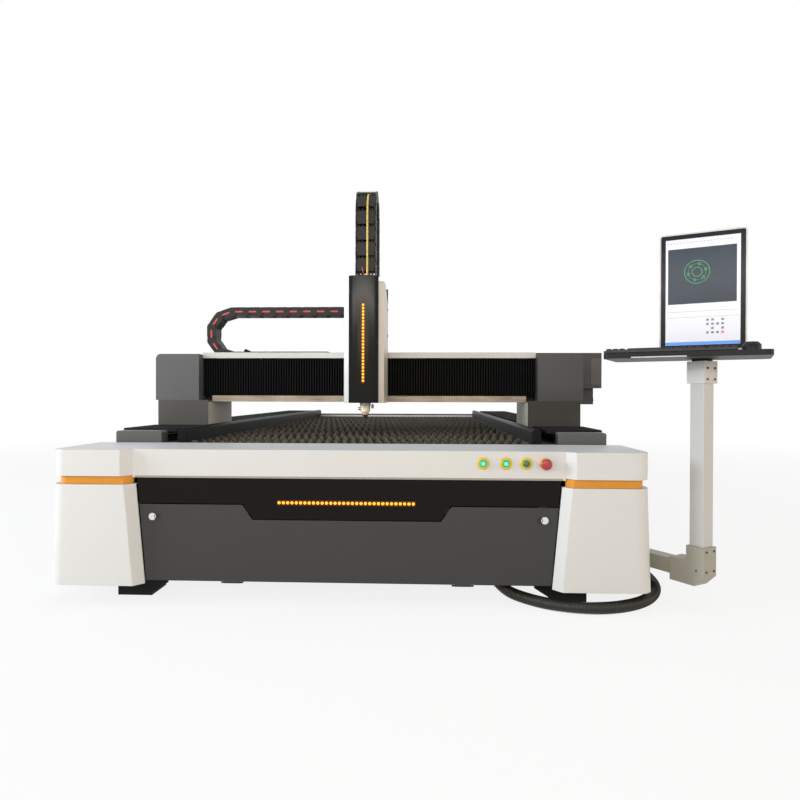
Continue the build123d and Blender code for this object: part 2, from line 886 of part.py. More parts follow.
# Gantry legs with bearing blocks that run on the rails
leg_middle = leg_front + leg_depth / 2
block_low = beam_top + leg_chamfer
with BuildPart() as leg:
    with BuildSketch(front_plane(leg_front)):
        with BuildLine():
            Polyline(
                (leg_inner, leg_bottom),
                (leg_outer, leg_bottom),
                (leg_outer, leg_top),
                (leg_inner, leg_top),
                close=True,
            )
        make_face()
    extrude(amount=-leg_depth)
    chamfer(leg.edges().filter_by(Axis.Y).group_by(Axis.Z)[0], length=leg_chamfer)
    with Locations((pinion_x, leg_middle, (leg_bottom + leg_top) / 2)):
        Cylinder(shaft_radius + running_gap, leg_top - leg_bottom, mode=Mode.SUBTRACT)
leg_blocks = []
for block_y in (leg_front + block_inset, leg_front + leg_depth - block_inset):
    with BuildPart() as bearing:
        with BuildSketch(front_plane(block_y - block_length / 2)):
            with Locations((rail_x, (block_low + leg_bottom) / 2)):
                Rectangle(3 * rail_width, leg_bottom - block_low)
            with Locations((rail_x, beam_top + (rail_height + running_gap) / 2)):
                Rectangle(
                    rail_width + 2 * running_gap,
                    rail_height + running_gap,
                    mode=Mode.SUBTRACT,
                )
        extrude(amount=-block_length)
    leg_blocks.append(bearing.part)
leg_set = [leg.part] + leg_blocks
save(
    Compound(children=leg_set + [piece.mirror(Plane.YZ) for piece in leg_set]),
    "gantry_legs",
)

# Gantry beam: a closed box section that stands on both legs
with BuildPart() as gantry_beam:
    with BuildSketch(Plane.YZ.offset(-gantry_beam_half)):
        with Locations(((gantry_beam_front + gantry_beam_rear) / 2, (leg_top + gantry_beam_top) / 2)):
            Rectangle(gantry_beam_rear - gantry_beam_front, gantry_beam_top - leg_top)
            Rectangle(
                gantry_beam_rear - gantry_beam_front - 2 * beam_wall,
                gantry_beam_top - leg_top - 2 * beam_wall,
                mode=Mode.SUBTRACT,
            )
    extrude(amount=2 * gantry_beam_half)
save(gantry_beam.part, "gantry_beam")

# Covers over and under the beam's open front
beam_cover_half = motor_cover_inner - running_gap
cover_front = bellows_front - 6.0
strip_half = leg_inner - running_gap
with BuildPart() as top_cover:
    with BuildSketch(Plane.YZ.offset(-beam_cover_half)):
        with BuildLine():
            Polyline(
                (cover_front, gantry_beam_top + wall),
                (cover_front, top_cover_top),
                (cover_slot_rear, top_cover_top),
                (cover_slot_rear, gantry_beam_top),
                (cover_slot_rear - wall, gantry_beam_top),
                (cover_slot_rear - wall, top_cover_top - wall),
                (cover_front + wall, top_cover_top - wall),
                (cover_front + wall, gantry_beam_top + wall),
                close=True,
            )
        make_face()
    extrude(amount=2 * beam_cover_half)
with BuildPart() as bottom_strip:
    with BuildSketch(Plane.YZ.offset(-strip_half)):
        with BuildLine():
            Polyline(
                (gantry_beam_front, leg_top),
                (gantry_beam_rear, leg_top),
                (gantry_beam_rear, leg_top - strip_fold),
                (bellows_front, leg_top - strip_fold),
                (bellows_front, leg_top + strip_lip),
                (bellows_front + wall, leg_top + strip_lip),
                (bellows_front + wall, leg_top),
                close=True,
            )
        make_face()
    extrude(amount=2 * strip_half)
with BuildPart() as chain_tray:
    block(
        (-beam_cover_half, beam_cover_half),
        (cover_slot_rear, gantry_beam_rear),
        (gantry_beam_top, gantry_beam_top + wall),
    )
    block(
        (-beam_cover_half, beam_cover_half),
        (gantry_beam_rear - wall, gantry_beam_rear),
        (gantry_beam_top + wall, top_cover_top),
    )
save(
    Compound(children=[top_cover.part, bottom_strip.part, chain_tray.part]),
    "beam_covers",
)

# Motor covers at both ends, and the cable box behind the right end
with BuildPart() as motor_cover:
    with BuildSketch(front_plane(leg_front)):
        with Locations(((motor_cover_inner + motor_cover_outer) / 2, (leg_top + motor_cover_top) / 2)):
            Rectangle(motor_cover_outer - motor_cover_inner, motor_cover_top - leg_top)
    extrude(amount=-leg_depth)
    outer_edges = motor_cover.edges().filter_by(Axis.Y).group_by(Axis.X)[-1]
    fillet(outer_edges.sort_by(Axis.Z)[-1], radius=motor_cover_radius)
    block(
        (motor_cover_inner + wall, motor_cover_outer - wall),
        (leg_front + wall, leg_front + leg_depth - wall),
        (leg_top, motor_cover_top - motor_cover_radius / 2),
        mode=Mode.SUBTRACT,
    )
    block(
        (motor_cover_inner, gantry_beam_half + running_gap),
        (gantry_beam_front, gantry_beam_rear),
        (leg_top, gantry_beam_top),
        mode=Mode.SUBTRACT,
    )
y_gantry_end = gantry_beam_rear + cable_box_depth
chain_plate = 20.0
with BuildPart() as cable_box:
    block(
        (cable_box_inner, cable_box_outer),
        (gantry_beam_rear, y_gantry_end),
        (cable_box_low, cable_box_high),
    )
    block(
        (y_chain_x - link_width / 2, y_chain_x + link_width / 2),
        (y_gantry_end - chain_plate, y_gantry_end),
        (y_chain_low + 2 * bend_radius(y_bend_links) - link_height / 2, cable_box_low),
    )
save(
    Compound(children=[motor_cover.part, motor_cover.part.mirror(Plane.YZ), cable_box.part]),
    "gantry_covers",
)

# Drive motors with their shafts, one above each pinion
pinion_low = beam_top + 2.0
with BuildPart() as drive_motor:
    block(
        (pinion_x - motor_size / 2, pinion_x + motor_size / 2),
        (leg_middle - motor_size / 2, leg_middle + motor_size / 2),
        (leg_top, leg_top + motor_height),
    )
    chamfer(drive_motor.edges().filter_by(Axis.Z), length=motor_chamfer)
save(both_sides(drive_motor), "gantry_motors")


def pinion_outline(centre, teeth, radius, depth):
    """Returns the corners of a spur pinion with straight-sided teeth."""
    points = []
    for tooth in range(teeth):
        for share, reach in ((-0.3, -depth), (-0.12, 0.0), (0.12, 0.0), (0.3, -depth)):
            angle = 2 * math.pi * (tooth + share) / teeth
            reached = radius + reach
            points.append((centre[0] + reached * math.cos(angle), centre[1] + reached * math.sin(angle)))
    return points


pinion_tooth_depth = 2.25 * 2 * pinion_radius / (pinion_teeth + 2)
for name, side in (("left_pinion", -1), ("right_pinion", 1)):
    with BuildPart() as pinion:
        with BuildSketch(Plane.XY.offset(pinion_low)):
            with BuildLine():
                outline = pinion_outline(
                    (side * pinion_x, leg_middle), pinion_teeth, pinion_radius, pinion_tooth_depth
                )
                Polyline(*outline, close=True)
            make_face()
        extrude(amount=pinion_width)
        with BuildSketch(Plane.XY.offset(pinion_low + pinion_width)):
            with Locations((side * pinion_x, leg_middle)):
                Circle(shaft_radius)
        extrude(amount=leg_top - pinion_low - pinion_width - running_gap)
    save(pinion.part, name)

# Rails and rack on the beam's front
beam_rail_half = gantry_beam_half - beam_rail_margin
with BuildPart() as beam_rails:
    for rail_z in beam_rail_z:
        block(
            (-beam_rail_half, beam_rail_half),
            (gantry_beam_front - beam_rail_size, gantry_beam_front),
            (rail_z - beam_rail_size / 2, rail_z + beam_rail_size / 2),
        )
    block(
        (-beam_rail_half, beam_rail_half),
        (gantry_beam_front - beam_rail_size, gantry_beam_front),
        (beam_rack_z, beam_rack_z + beam_rail_size),
    )
save(beam_rails.part, "beam_rails")


def pleat_outline(start, end, folds, top, depth, sheet):
    """Returns the corners of a pleated sheet that runs from start to end."""
    step = (end - start) / folds
    points = [(start, top)]
    for fold in range(folds):
        points += [(start + (fold + 0.5) * step, top + depth), (start + (fold + 1) * step, top)]
    points += [(end, top - sheet)]
    for fold in reversed(range(folds)):
        points += [
            (start + (fold + 0.5) * step, top + depth - sheet),
            (start + fold * step, top - sheet),
        ]
    return points


# Pleated bellows over the beam rails, left and right of the carriage
carriage_half = head_half + side_cover
bellows_top = gantry_beam_top
beam_bellows = []
for start, end in (
    (-motor_cover_inner, carriage_x - carriage_half - running_gap),
    (carriage_x + carriage_half + running_gap, motor_cover_inner),
):
    with BuildPart() as pleats:
        with BuildSketch(Plane.XY.offset(bellows_low)):
            with BuildLine():
                outline = pleat_outline(start, end, beam_fold_count, 0, -bellows_fold, -bellows_sheet)
                Polyline(
                    *[(x, bellows_front + bellows_fold + y) for x, y in outline],
                    close=True,
                )
            make_face()
        extrude(amount=bellows_top - bellows_low)
    beam_bellows.append(pleats.part)
save(Compound(children=beam_bellows), "beam_bellows")

# Bellows over the bed rails, before and behind each leg
rail_bellows = []
rail_bellows_low = leg_bottom + wall
for start, end, folds in (
    (end_box_front + end_box_depth, leg_front, 8),
    (leg_front + leg_depth, bed_rear - end_box_depth, 34),
):
    with BuildPart() as pleats:
        with BuildSketch(Plane.YZ.offset(rail_bellows_inner)):
            with BuildLine():
                Polyline(
                    *pleat_outline(
                        start,
                        end,
                        folds,
                        rail_bellows_low,
                        rail_bellows_depth,
                        bellows_sheet,
                    ),
                    close=True,
                )
            make_face()
        extrude(amount=bed_half_width - rail_bellows_inner)
    rail_bellows += [pleats.part, pleats.part.mirror(Plane.YZ)]
save(Compound(children=rail_bellows), "rail_bellows")


def chain_link():
    """Returns one cable chain link along X: two side plates with two cross bars.

    Its lower corners are cut back, so that links fold towards -Z without meeting.
    """
    half = (link_pitch - running_gap) / 2
    cut = link_height / 2 * math.tan(math.radians(22.5))
    with BuildPart() as link:
        with BuildSketch(Plane.XZ):
            with BuildLine():
                Polyline(
                    (-half, 0),
                    (-half, link_height / 2),
                    (half, link_height / 2),
                    (half, 0),
                    (half - cut, -link_height / 2),
                    (-half + cut, -link_height / 2),
                    close=True,
                )
            make_face()
        extrude(amount=link_width / 2, both=True)
        block(
            (-half, half),
            (-link_width / 2 + link_plate, link_width / 2 - link_plate),
            (-link_height / 2 + link_plate, link_height / 2 - link_plate),
            mode=Mode.SUBTRACT,
        )
    return link.part


def chain(first_links, bend_links, second_links):
    """Returns the links of a chain in the XZ plane, which turns back at its -X end.

    The half turn is centred on the origin, and the first run is above it.
    """
    radius = bend_radius(bend_links)
    apothem = radius * math.cos(math.pi / 2 / bend_links)
    places = [Location(((n + 0.5) * link_pitch, 0, radius)) for n in range(first_links)]
    for number in range(bend_links):
        turn = 180 * (number + 0.5) / bend_links
        angle = math.radians(90 + turn)
        spot = (apothem * math.cos(angle), 0, apothem * math.sin(angle))
        places.append(Location(spot, (0, -turn, 0)))
    for number in range(second_links):
        places.append(Location(((number + 0.5) * link_pitch, 0, -radius), (0, 180, 0)))
    link = chain_link()
    return [link.moved(place) for place in places]


# X chain: upper run from the head to the left, half turn, lower run in a tray on the beam
x_radius = bend_radius(x_bend_links)
x_chain_y = gantry_beam_rear - link_width / 2 - 14.0
x_chain_low = gantry_beam_top + wall + running_gap + link_height / 2
x_upper_links = 9
x_place = Location((x_chain_bend_x, x_chain_y, x_chain_low + x_radius))
x_links = chain(x_upper_links, x_bend_links, 7)
save(Compound(children=[link.moved(x_place) for link in x_links]), "x_chain")

# Z chain: a standing loop over the head, its front run moving with the cutting head
z_radius = bend_radius(z_bend_links)
z_run_links = 4
z_chain_x = carriage_x + 5.0
z_chain_y = head_axis_y + 70.0
z_bend_z = z_chain_top - z_radius - link_height / 2
z_run_end = z_bend_z - z_run_links * link_pitch
z_place = Plane(
    origin=(z_chain_x, z_chain_y, z_bend_z),
    x_dir=(0, 0, -1),
    z_dir=(0, -1, 0),
).location
z_links = chain(z_run_links, z_bend_links, z_run_links)
save(Compound(children=[link.moved(z_place) for link in z_links]), "z_chain")

# Y chain: upper run from the cable box to the rear, half turn, lower run in the trough
y_upper_links = 18
y_place = Location(
    (
        y_chain_x,
        y_gantry_end + y_upper_links * link_pitch,
        y_chain_low + bend_radius(y_bend_links),
    ),
    (0, 0, -90),
)
y_links = chain(y_upper_links, y_bend_links, 3)
save(Compound(children=[link.moved(y_place) for link in y_links]), "y_chain")

# Carriage frame: a plate before the beam, bearing blocks behind it, a U-shaped casting in front
plate_front = bellows_front - 20.0
frame_front = head_axis_y + 64.0
frame_half = head_half - wall
frame_low = head_bottom + 14.0
frame_high = side_top - 10.0
cheek = 8.0
rider_half = 60.0
rider_gap = 6.0
x_pinion_z = beam_rack_z - running_gap - pinion_radius
x_chain_high = x_chain_low + 2 * x_radius
x_chain_end = x_chain_bend_x + x_upper_links * link_pitch
with BuildPart() as carriage_frame:
    plate_half = carriage_half + rear_side_extra
    block(
        (carriage_x - plate_half, carriage_x + plate_half),
        (plate_front, plate_front + plate_thickness),
        (frame_low, side_top),
    )
    block(
        (carriage_x - frame_half, carriage_x + frame_half),
        (frame_front, plate_front),
        (frame_low, frame_high),
    )
    block(
        (carriage_x - frame_half + cheek, carriage_x + frame_half - cheek),
        (frame_front + plate_thickness, plate_front),
        (frame_low, frame_high),
        mode=Mode.SUBTRACT,
    )
    for rail_z in beam_rail_z:
        block(
            (carriage_x - rider_half, carriage_x + rider_half),
            (plate_front + plate_thickness, gantry_beam_front - rider_gap),
            (rail_z - 1.1 * beam_rail_size, rail_z + 1.1 * beam_rail_size),
        )
        block(
            (carriage_x - rider_half, carriage_x + rider_half),
            (gantry_beam_front - beam_rail_size - running_gap, gantry_beam_front),
            (
                rail_z - beam_rail_size / 2 - running_gap,
                rail_z + beam_rail_size / 2 + running_gap,
            ),
            mode=Mode.SUBTRACT,
        )
    block(
        (z_chain_x - link_width / 2, z_chain_x + link_width / 2),
        (plate_front, plate_front + plate_thickness),
        (side_top, z_run_end),
    )
    block(
        (x_chain_end, x_chain_end + cheek),
        (plate_front + plate_thickness, x_chain_y + link_width / 2),
        (x_chain_high - link_height / 2, x_chain_high + link_height / 2),
    )
    with BuildSketch(front_plane(plate_front)):
        with Locations((carriage_x, x_pinion_z)):
            Circle(shaft_radius + running_gap)
    extrude(amount=-plate_thickness, mode=Mode.SUBTRACT)
save(carriage_frame.part, "carriage_frame")

# X motor inside the frame, Z motor on top of the slide
x_motor_half = 40.0
small_chamfer = 6.0
with BuildPart() as x_motor:
    block(
        (carriage_x - x_motor_half, carriage_x + x_motor_half),
        (frame_front + plate_thickness + panel_gap, plate_front),
        (x_pinion_z - x_motor_half, x_pinion_z + x_motor_half),
    )
    chamfer(x_motor.edges().filter_by(Axis.Y), length=small_chamfer)
with BuildPart() as z_motor:
    block(
        (carriage_x - z_motor_size / 2, carriage_x + z_motor_size / 2),
        (frame_front - z_motor_size, frame_front),
        (frame_high - z_motor_height, frame_high),
    )
    chamfer(z_motor.edges().filter_by(Axis.Z), length=small_chamfer)
save(Compound(children=[x_motor.part, z_motor.part]), "carriage_motors")

with BuildPart() as x_pinion:
    pinion_y = gantry_beam_front - beam_rail_size
    with BuildSketch(front_plane(pinion_y)):
        with BuildLine():
            Polyline(
                *pinion_outline((carriage_x, x_pinion_z), pinion_teeth, pinion_radius, pinion_tooth_depth),
                close=True,
            )
        make_face()
    extrude(amount=-pinion_width)
    with BuildSketch(front_plane(pinion_y)):
        with Locations((carriage_x, x_pinion_z)):
            Circle(shaft_radius)
    extrude(amount=pinion_y - plate_front - running_gap)
save(x_pinion.part, "x_pinion")

# Glossy black front cover of the head, bowed forwards, open at the back and below
bow = 14.0
shell_back = head_front + head_depth
with BuildPart() as head_cover:
    with BuildSketch(Plane.XY.offset(head_bottom)):
        with BuildLine():
            Polyline(
                (carriage_x + head_half, head_front + bow),
                (carriage_x + head_half, shell_back),
                (carriage_x - head_half, shell_back),
                (carriage_x - head_half, head_front + bow),
            )
            ThreePointArc(
                (carriage_x - head_half, head_front + bow),
                (carriage_x, head_front),
                (carriage_x + head_half, head_front + bow),
            )
        make_face()
    extrude(amount=head_top - head_bottom)
    with BuildSketch(Plane.XY.offset(head_bottom)):
        with BuildLine():
            Polyline(
                (carriage_x + head_half - wall, head_front + bow + wall),
                (carriage_x + head_half - wall, shell_back),
                (carriage_x - head_half + wall, shell_back),
                (carriage_x - head_half + wall, head_front + bow + wall),
            )
            ThreePointArc(
                (carriage_x - head_half + wall, head_front + bow + wall),
                (carriage_x, head_front + wall),
                (carriage_x + head_half - wall, head_front + bow + wall),
            )
        make_face()
    extrude(amount=head_top - head_bottom - wall, mode=Mode.SUBTRACT)
save(head_cover.part, "head_front_cover")

# White side covers of the head, each with a sloped rear part
side_shells = []
slope_depth = 140.0
slope_height = 85.0
for side in (-1, 1):
    outer = carriage_x + side * carriage_half
    inner = carriage_x + side * (head_half + running_gap)
    rear_outer = outer + side * rear_side_extra
    with BuildPart() as side_shell:
        with BuildSketch(Plane.XY.offset(head_bottom)):
            with BuildLine():
                Polyline(
                    (inner, head_front + 2 * bow),
                    (outer, head_front + 3 * bow),
                    (rear_outer, plate_front),
                    (rear_outer - side * wall, plate_front),
                    (outer - side * wall, head_front + 3 * bow + wall),
                    (inner, head_front + 2 * bow + wall),
                    close=True,
                )
            make_face()
        extrude(amount=side_top - head_bottom)
        with BuildSketch(Plane.YZ.offset(rear_outer + side)):
            with BuildLine():
                Polyline(
                    (plate_front + wall, side_top + wall),
                    (plate_front - slope_depth, side_top + wall),
                    (plate_front + wall, side_top - slope_height),
                    close=True,
                )
            make_face()
        extrude(amount=-2 * side * carriage_half / 3, mode=Mode.SUBTRACT)
    side_shells.append(side_shell.part)
save(Compound(children=side_shells), "head_side_covers")

# Upright light strip on the head cover
head_strip_low = head_bottom + 92.0
head_strip_length = 390.0
head_strip_width = 18.0
with BuildPart() as head_strip:
    with BuildSketch(front_plane(head_front)):
        with Locations((carriage_x, head_strip_low + head_strip_length / 2)):
            SlotOverall(head_strip_length, head_strip_width, rotation=90)
    extrude(amount=strip_depth / 2)
save(head_strip.part, "head_light_strip")

# Z screw between the slide rails
screw_radius = 5.0
screw_low = frame_low + 20.0
z_rail_depth = 12.0
screw_y = frame_front - z_rail_depth / 2 - 1.0
with BuildPart() as z_screw:
    with BuildSketch(Plane.XY.offset(screw_low)):
        with Locations((carriage_x, screw_y)):
            Circle(screw_radius)
    extrude(amount=frame_high - z_motor_height - screw_low - running_gap)
save(z_screw.part, "z_screw")

# Z slide: plate with two ribs that run on the frame's face
z_plate_back = frame_front - z_rail_depth - 2.0
slide_low = head_bottom + 60.0
slide_top = slide_low + slide_plate_height
slide_half = 50.0
rib_inner = 18.0
rib_outer = 48.0
rib_margin = 20.0
with BuildPart() as z_slide:
    block(
        (carriage_x - slide_half, carriage_x + slide_half),
        (z_plate_back - plate_thickness, z_plate_back),
        (slide_low, slide_top),
    )
    for side in (-1, 1):
        x_pair = sorted((carriage_x + side * rib_inner, carriage_x + side * rib_outer))
        block(
            x_pair,
            (z_plate_back, frame_front - running_gap),
            (slide_low + rib_margin, slide_top - rib_margin),
        )
save(z_slide.part, "z_slide")

# Cutting head: body clamped to the slide, black collar, cream sensor body with a focus knob
head_body_radius = 27.0
sensor_radius = 24.0
knob_radius = 8.0
knob_length = 12.0
riser_half = 20.0
riser_y = head_axis_y - head_body_radius
with BuildPart() as cutting_head:
    with BuildSketch(Plane.XY.offset(collar_low)):
        with Locations((carriage_x, head_axis_y)):
            Circle(head_body_radius)
    extrude(amount=slide_top - collar_low)
    block(
        (carriage_x - head_body_radius, carriage_x + head_body_radius),
        (head_axis_y, z_plate_back - plate_thickness),
        (slide_low + rib_margin, slide_top - rib_margin),
    )
    with BuildSketch(Plane.XY.offset(sensor_low)):
        with Locations((carriage_x, head_axis_y)):
            Circle(sensor_radius)
    extrude(amount=collar_low - sensor_low)
    with BuildSketch(Plane.YZ.offset(carriage_x - head_body_radius - knob_radius)):
        with Locations((head_axis_y, (collar_low + sensor_low) / 2)):
            Circle(knob_radius)
    extrude(amount=knob_length)
    block(
        (carriage_x - riser_half, carriage_x + riser_half),
        (riser_y, riser_y + cheek),
        (slide_top - rib_margin, z_run_end),
    )
    block(
        (z_chain_x - link_width / 2, z_chain_x + link_width / 2),
        (riser_y - cheek, riser_y + cheek),
        (z_run_end - cheek, z_run_end),
    )
save(cutting_head.part, "cutting_head")

# Nozzle: a collar that narrows to the tip
nozzle_radius = 17.0
nozzle_collar = 14.0
tip_radius = 4.0
with BuildPart() as nozzle:
    with BuildSketch(Plane.XZ.offset(-head_axis_y)):
        with BuildLine():
            Polyline(
                (carriage_x, sensor_low),
                (carriage_x + nozzle_radius, sensor_low),
                (carriage_x + nozzle_radius, sensor_low - nozzle_collar),
                (carriage_x + tip_radius, nozzle_tip),
                (carriage_x, nozzle_tip),
                close=True,
            )
        make_face()
    revolve(axis=Axis((carriage_x, head_axis_y, 0), (0, 0, 1)))
save(nozzle.part, "nozzle")

# Console arm in the upright plane from its pivot to the post
arm_reach = math.hypot(post_x - arm_pivot_x, post_y - arm_pivot_y)
arm_frame = Plane(
    origin=(arm_pivot_x, arm_pivot_y, 0),
    x_dir=(post_x - arm_pivot_x, post_y - arm_pivot_y, 0),
    z_dir=(post_y - arm_pivot_y, arm_pivot_x - post_x, 0),
)
with BuildPart() as arm:
    with BuildSketch(arm_frame):
        with Locations((arm_reach / 2, arm_low + arm_tube / 2)):
            Rectangle(arm_reach, arm_tube)
    extrude(amount=arm_tube / 2, both=True)
    with BuildSketch(Plane.XY.offset(arm_low)):
        with Locations((arm_pivot_x, arm_pivot_y)):
            Circle(arm_eye_radius)
    extrude(amount=arm_tube)
    with BuildSketch(Plane.XY.offset(arm_low)):
        with Locations((arm_pivot_x, arm_pivot_y)):
            Circle(arm_pin_radius + running_gap)
    extrude(amount=arm_tube, mode=Mode.SUBTRACT)
elbow_chamfer = 40.0
elbow_sleeve = 92.0
with BuildPart() as elbow:
    with BuildSketch(arm_frame):
        with BuildLine():
            Polyline(
                (arm_reach - elbow_reach, elbow_low),
                (arm_reach + elbow_half - elbow_chamfer, elbow_low),
                (arm_reach + elbow_half, elbow_low + elbow_chamfer),
                (arm_reach + elbow_half, elbow_high),
                (arm_reach - elbow_half, elbow_high),
                (arm_reach - elbow_half, elbow_low + elbow_sleeve),
                (arm_reach - elbow_reach, elbow_low + elbow_sleeve),
                close=True,
            )
        make_face()
    extrude(amount=elbow_half, both=True)
    add(arm.part, mode=Mode.SUBTRACT)
save(Compound(children=[arm.part, elbow.part]), "console_arm")

post_frame = Plane(
    origin=(post_x, post_y, elbow_high),
    x_dir=(post_x - arm_pivot_x, post_y - arm_pivot_y, 0),
    z_dir=(0, 0, 1),
)
turntable_low = tray_low - 8.0
turntable_radius = 36.0
tube_rounding = 5.0
with BuildPart() as post:
    with BuildSketch(post_frame):
        RectangleRounded(arm_tube, arm_tube, tube_rounding)
    extrude(amount=post_top - elbow_high)
    with BuildSketch(post_frame.offset(post_top - elbow_high)):
        Rectangle(2 * elbow_half, 2 * elbow_half)
    extrude(amount=turntable_low - post_top)
save(post.part, "console_post")

# Tray on its turntable, turned to face the operator
yaw = math.radians(tray_yaw)
tray_across = (math.cos(yaw), -math.sin(yaw), 0)
tray_shift = (-50.0, -55.0)
tray_rounding = 24.0


def tray_plane(z):
    """Returns a level plane over the post, with local X along the tray."""
    return Plane(origin=(post_x, post_y, z), x_dir=tray_across, z_dir=(0, 0, 1))


def screen_plane(back):
    """Returns an upright plane that faces the operator, set back from the post's axis."""
    return Plane(
        origin=(post_x + back * math.sin(yaw), post_y + back * math.cos(yaw), 0),
        x_dir=tray_across,
        z_dir=(-math.sin(yaw), -math.cos(yaw), 0),
    )


tray_top = tray_low + tray_thickness
with BuildPart() as tray:
    with BuildSketch(tray_plane(turntable_low)):
        Circle(turntable_radius)
    extrude(amount=tray_low - turntable_low)
    with BuildSketch(tray_plane(tray_low)):
        with Locations(tray_shift):
            RectangleRounded(tray_length, tray_depth, tray_rounding)
    extrude(amount=tray_thickness)
save(tray.part, "tray")

# Keyboard with its rows of keys, and a mouse
keyboard_place = (-103.0, -122.0)
keyboard_length = 450.0
keyboard_depth = 150.0
keyboard_height = 10.0
keyboard_margin = 12.0
key_height = 8.0
key_gap = 4.0
key_rows = 5
row_pitch = (keyboard_depth - 2 * keyboard_margin) / key_rows
with BuildPart() as keyboard:
    with BuildSketch(tray_plane(tray_top)):
        with Locations(keyboard_place):
            Rectangle(keyboard_length, keyboard_depth)
    extrude(amount=keyboard_height)
    with BuildSketch(tray_plane(tray_top + keyboard_height)):
        with Locations(keyboard_place):
            with GridLocations(0, row_pitch, 1, key_rows):
                Rectangle(keyboard_length - 2 * keyboard_margin, row_pitch - key_gap)
    extrude(amount=key_height)
save(keyboard.part, "keyboard")

mouse_place = (164.0, -115.0)
mouse_length = 105.0
mouse_width = 60.0
mouse_height = 30.0
with BuildPart() as mouse:
    with BuildSketch(tray_plane(tray_top)):
        with Locations(mouse_place):
            SlotOverall(mouse_length, mouse_width, rotation=90)
    extrude(amount=mouse_height)
    chamfer(mouse.faces().sort_by(Axis.Z)[-1].edges(), length=mouse_height / 3)
save(mouse.part, "mouse")

# Monitor: case with a recess, the screen in it, and a stand with a tilting head
monitor_face = -23.0
monitor_back = monitor_face + monitor_depth
monitor_middle = monitor_low + monitor_height / 2
tilt_z = monitor_low + 162.0
tilt_back = monitor_back + 21.0
barrel_radius = 14.0
tilt_pin_radius = 5.0
neck_half = 28.0
fork_width = 14.0
fork_place = neck_half + 8.0
monitor_rounding = 10.0
with BuildPart() as monitor_case:
    with BuildSketch(screen_plane(monitor_face)):
        with Locations((0, monitor_middle)):
            RectangleRounded(monitor_width, monitor_height, monitor_rounding)
    extrude(amount=-monitor_depth)
    with BuildSketch(screen_plane(monitor_face)):
        with Locations((0, monitor_middle)):
            Rectangle(monitor_width - 2 * bezel, monitor_height - 2 * bezel)
    extrude(amount=-wall, mode=Mode.SUBTRACT)
    for side in (-1, 1):
        with BuildSketch(screen_plane(monitor_back)):
            with Locations((side * fork_place, tilt_z)):
                Rectangle(fork_width, 2 * barrel_radius)
        extrude(amount=-(tilt_back - monitor_back))
        barrel_plane = Plane(
            origin=screen_plane(tilt_back).from_local_coords(
                Vector(side * fork_place - fork_width / 2, tilt_z, 0)
            ),
            x_dir=(0, 0, 1),
            z_dir=tray_across,
        )
        with BuildSketch(barrel_plane):
            Circle(barrel_radius)
        extrude(amount=fork_width)
        with BuildSketch(barrel_plane):
            Circle(tilt_pin_radius + running_gap)
        extrude(amount=fork_width, mode=Mode.SUBTRACT)
save(monitor_case.part, "monitor_case")

with BuildPart() as monitor_screen:
    with BuildSketch(screen_plane(monitor_face + wall)):
        with Locations((0, monitor_middle)):
            Rectangle(
                monitor_width - 2 * bezel - 2 * running_gap,
                monitor_height - 2 * bezel - 2 * running_gap,
            )
    extrude(amount=2 * wall / 3)
save(monitor_screen.part, "monitor_screen")

neck_thickness = 12.0
base_thickness = 5.0
base_width = 190.0
base_depth = 110.0
pin_proud = 16.0
with BuildPart() as monitor_stand:
    with BuildSketch(tray_plane(tray_top)):
        with Locations((0, tilt_back - base_depth / 8)):
            RectangleRounded(base_width, base_depth, tray_rounding)
    extrude(amount=base_thickness)
    with BuildSketch(screen_plane(tilt_back + neck_thickness / 2)):
        with Locations((0, (tray_top + tilt_z) / 2)):
            Rectangle(2 * neck_half, tilt_z - tray_top)
    extrude(amount=-neck_thickness)
    barrel_plane = Plane(
        origin=screen_plane(tilt_back).from_local_coords(Vector(-neck_half, tilt_z, 0)),
        x_dir=(0, 0, 1),
        z_dir=tray_across,
    )
    with BuildSketch(barrel_plane):
        Circle(barrel_radius)
    extrude(amount=2 * neck_half)
    with BuildSketch(barrel_plane.offset(-pin_proud)):
        Circle(tilt_pin_radius)
    extrude(amount=2 * (neck_half + pin_proud))
save(monitor_stand.part, "monitor_stand")

# Corrugated hose on the floor, from a gland under the bed round to one on the right side
gland_length = 40.0
gland_radius = 32.0
hose_start = (540.0, front_y + 205.0, beam_bottom - gland_length)
hose_finish = (leg_outside + wall + gland_length, front_y + 1010.0, 100.0)
hose_bends = [
    (540, 205, 230),
    (556, 195, 110),
    (620, 155, 36),
    (700, 90, 23),
    (800, 15, 23),
    (925, -12, 23),
    (1050, 25, 23),
    (1160, 120, 23),
    (1232, 270, 23),
    (1252, 470, 23),
    (1235, 690, 23),
    (1180, 880, 40),
    (1080, 1010, 100),
]
route = [Vector(*hose_start)]
route += [Vector(x, front_y + y, z + hose_radius - 23.0) for x, y, z in hose_bends]
route += [Vector(*hose_finish)]
bend_radii = []
for before, corner, after in zip(route, route[1:], route[2:]):
    turn = math.radians((corner - before).get_angle(after - corner))
    shorter = min((corner - before).length, (after - corner).length)
    bend_radii.append(0.45 * shorter / math.tan(turn / 2))
print("hose bend radii in mm:", [round(radius) for radius in bend_radii])
with BuildPart() as hose:
    with BuildLine() as hose_line:
        FilletPolyline(*route, radius=bend_radii)
    with BuildSketch(Plane(origin=route[0], z_dir=route[1] - route[0])):
        Circle(hose_radius)
    sweep()
hose_length = sum(edge.length for edge in hose_line.edges())
print("hose length in mm:", round(hose_length))
print("hose volume over section times length:", hose.part.volume / hose_length / math.pi / hose_radius**2)
save(hose.part, "cable_hose")

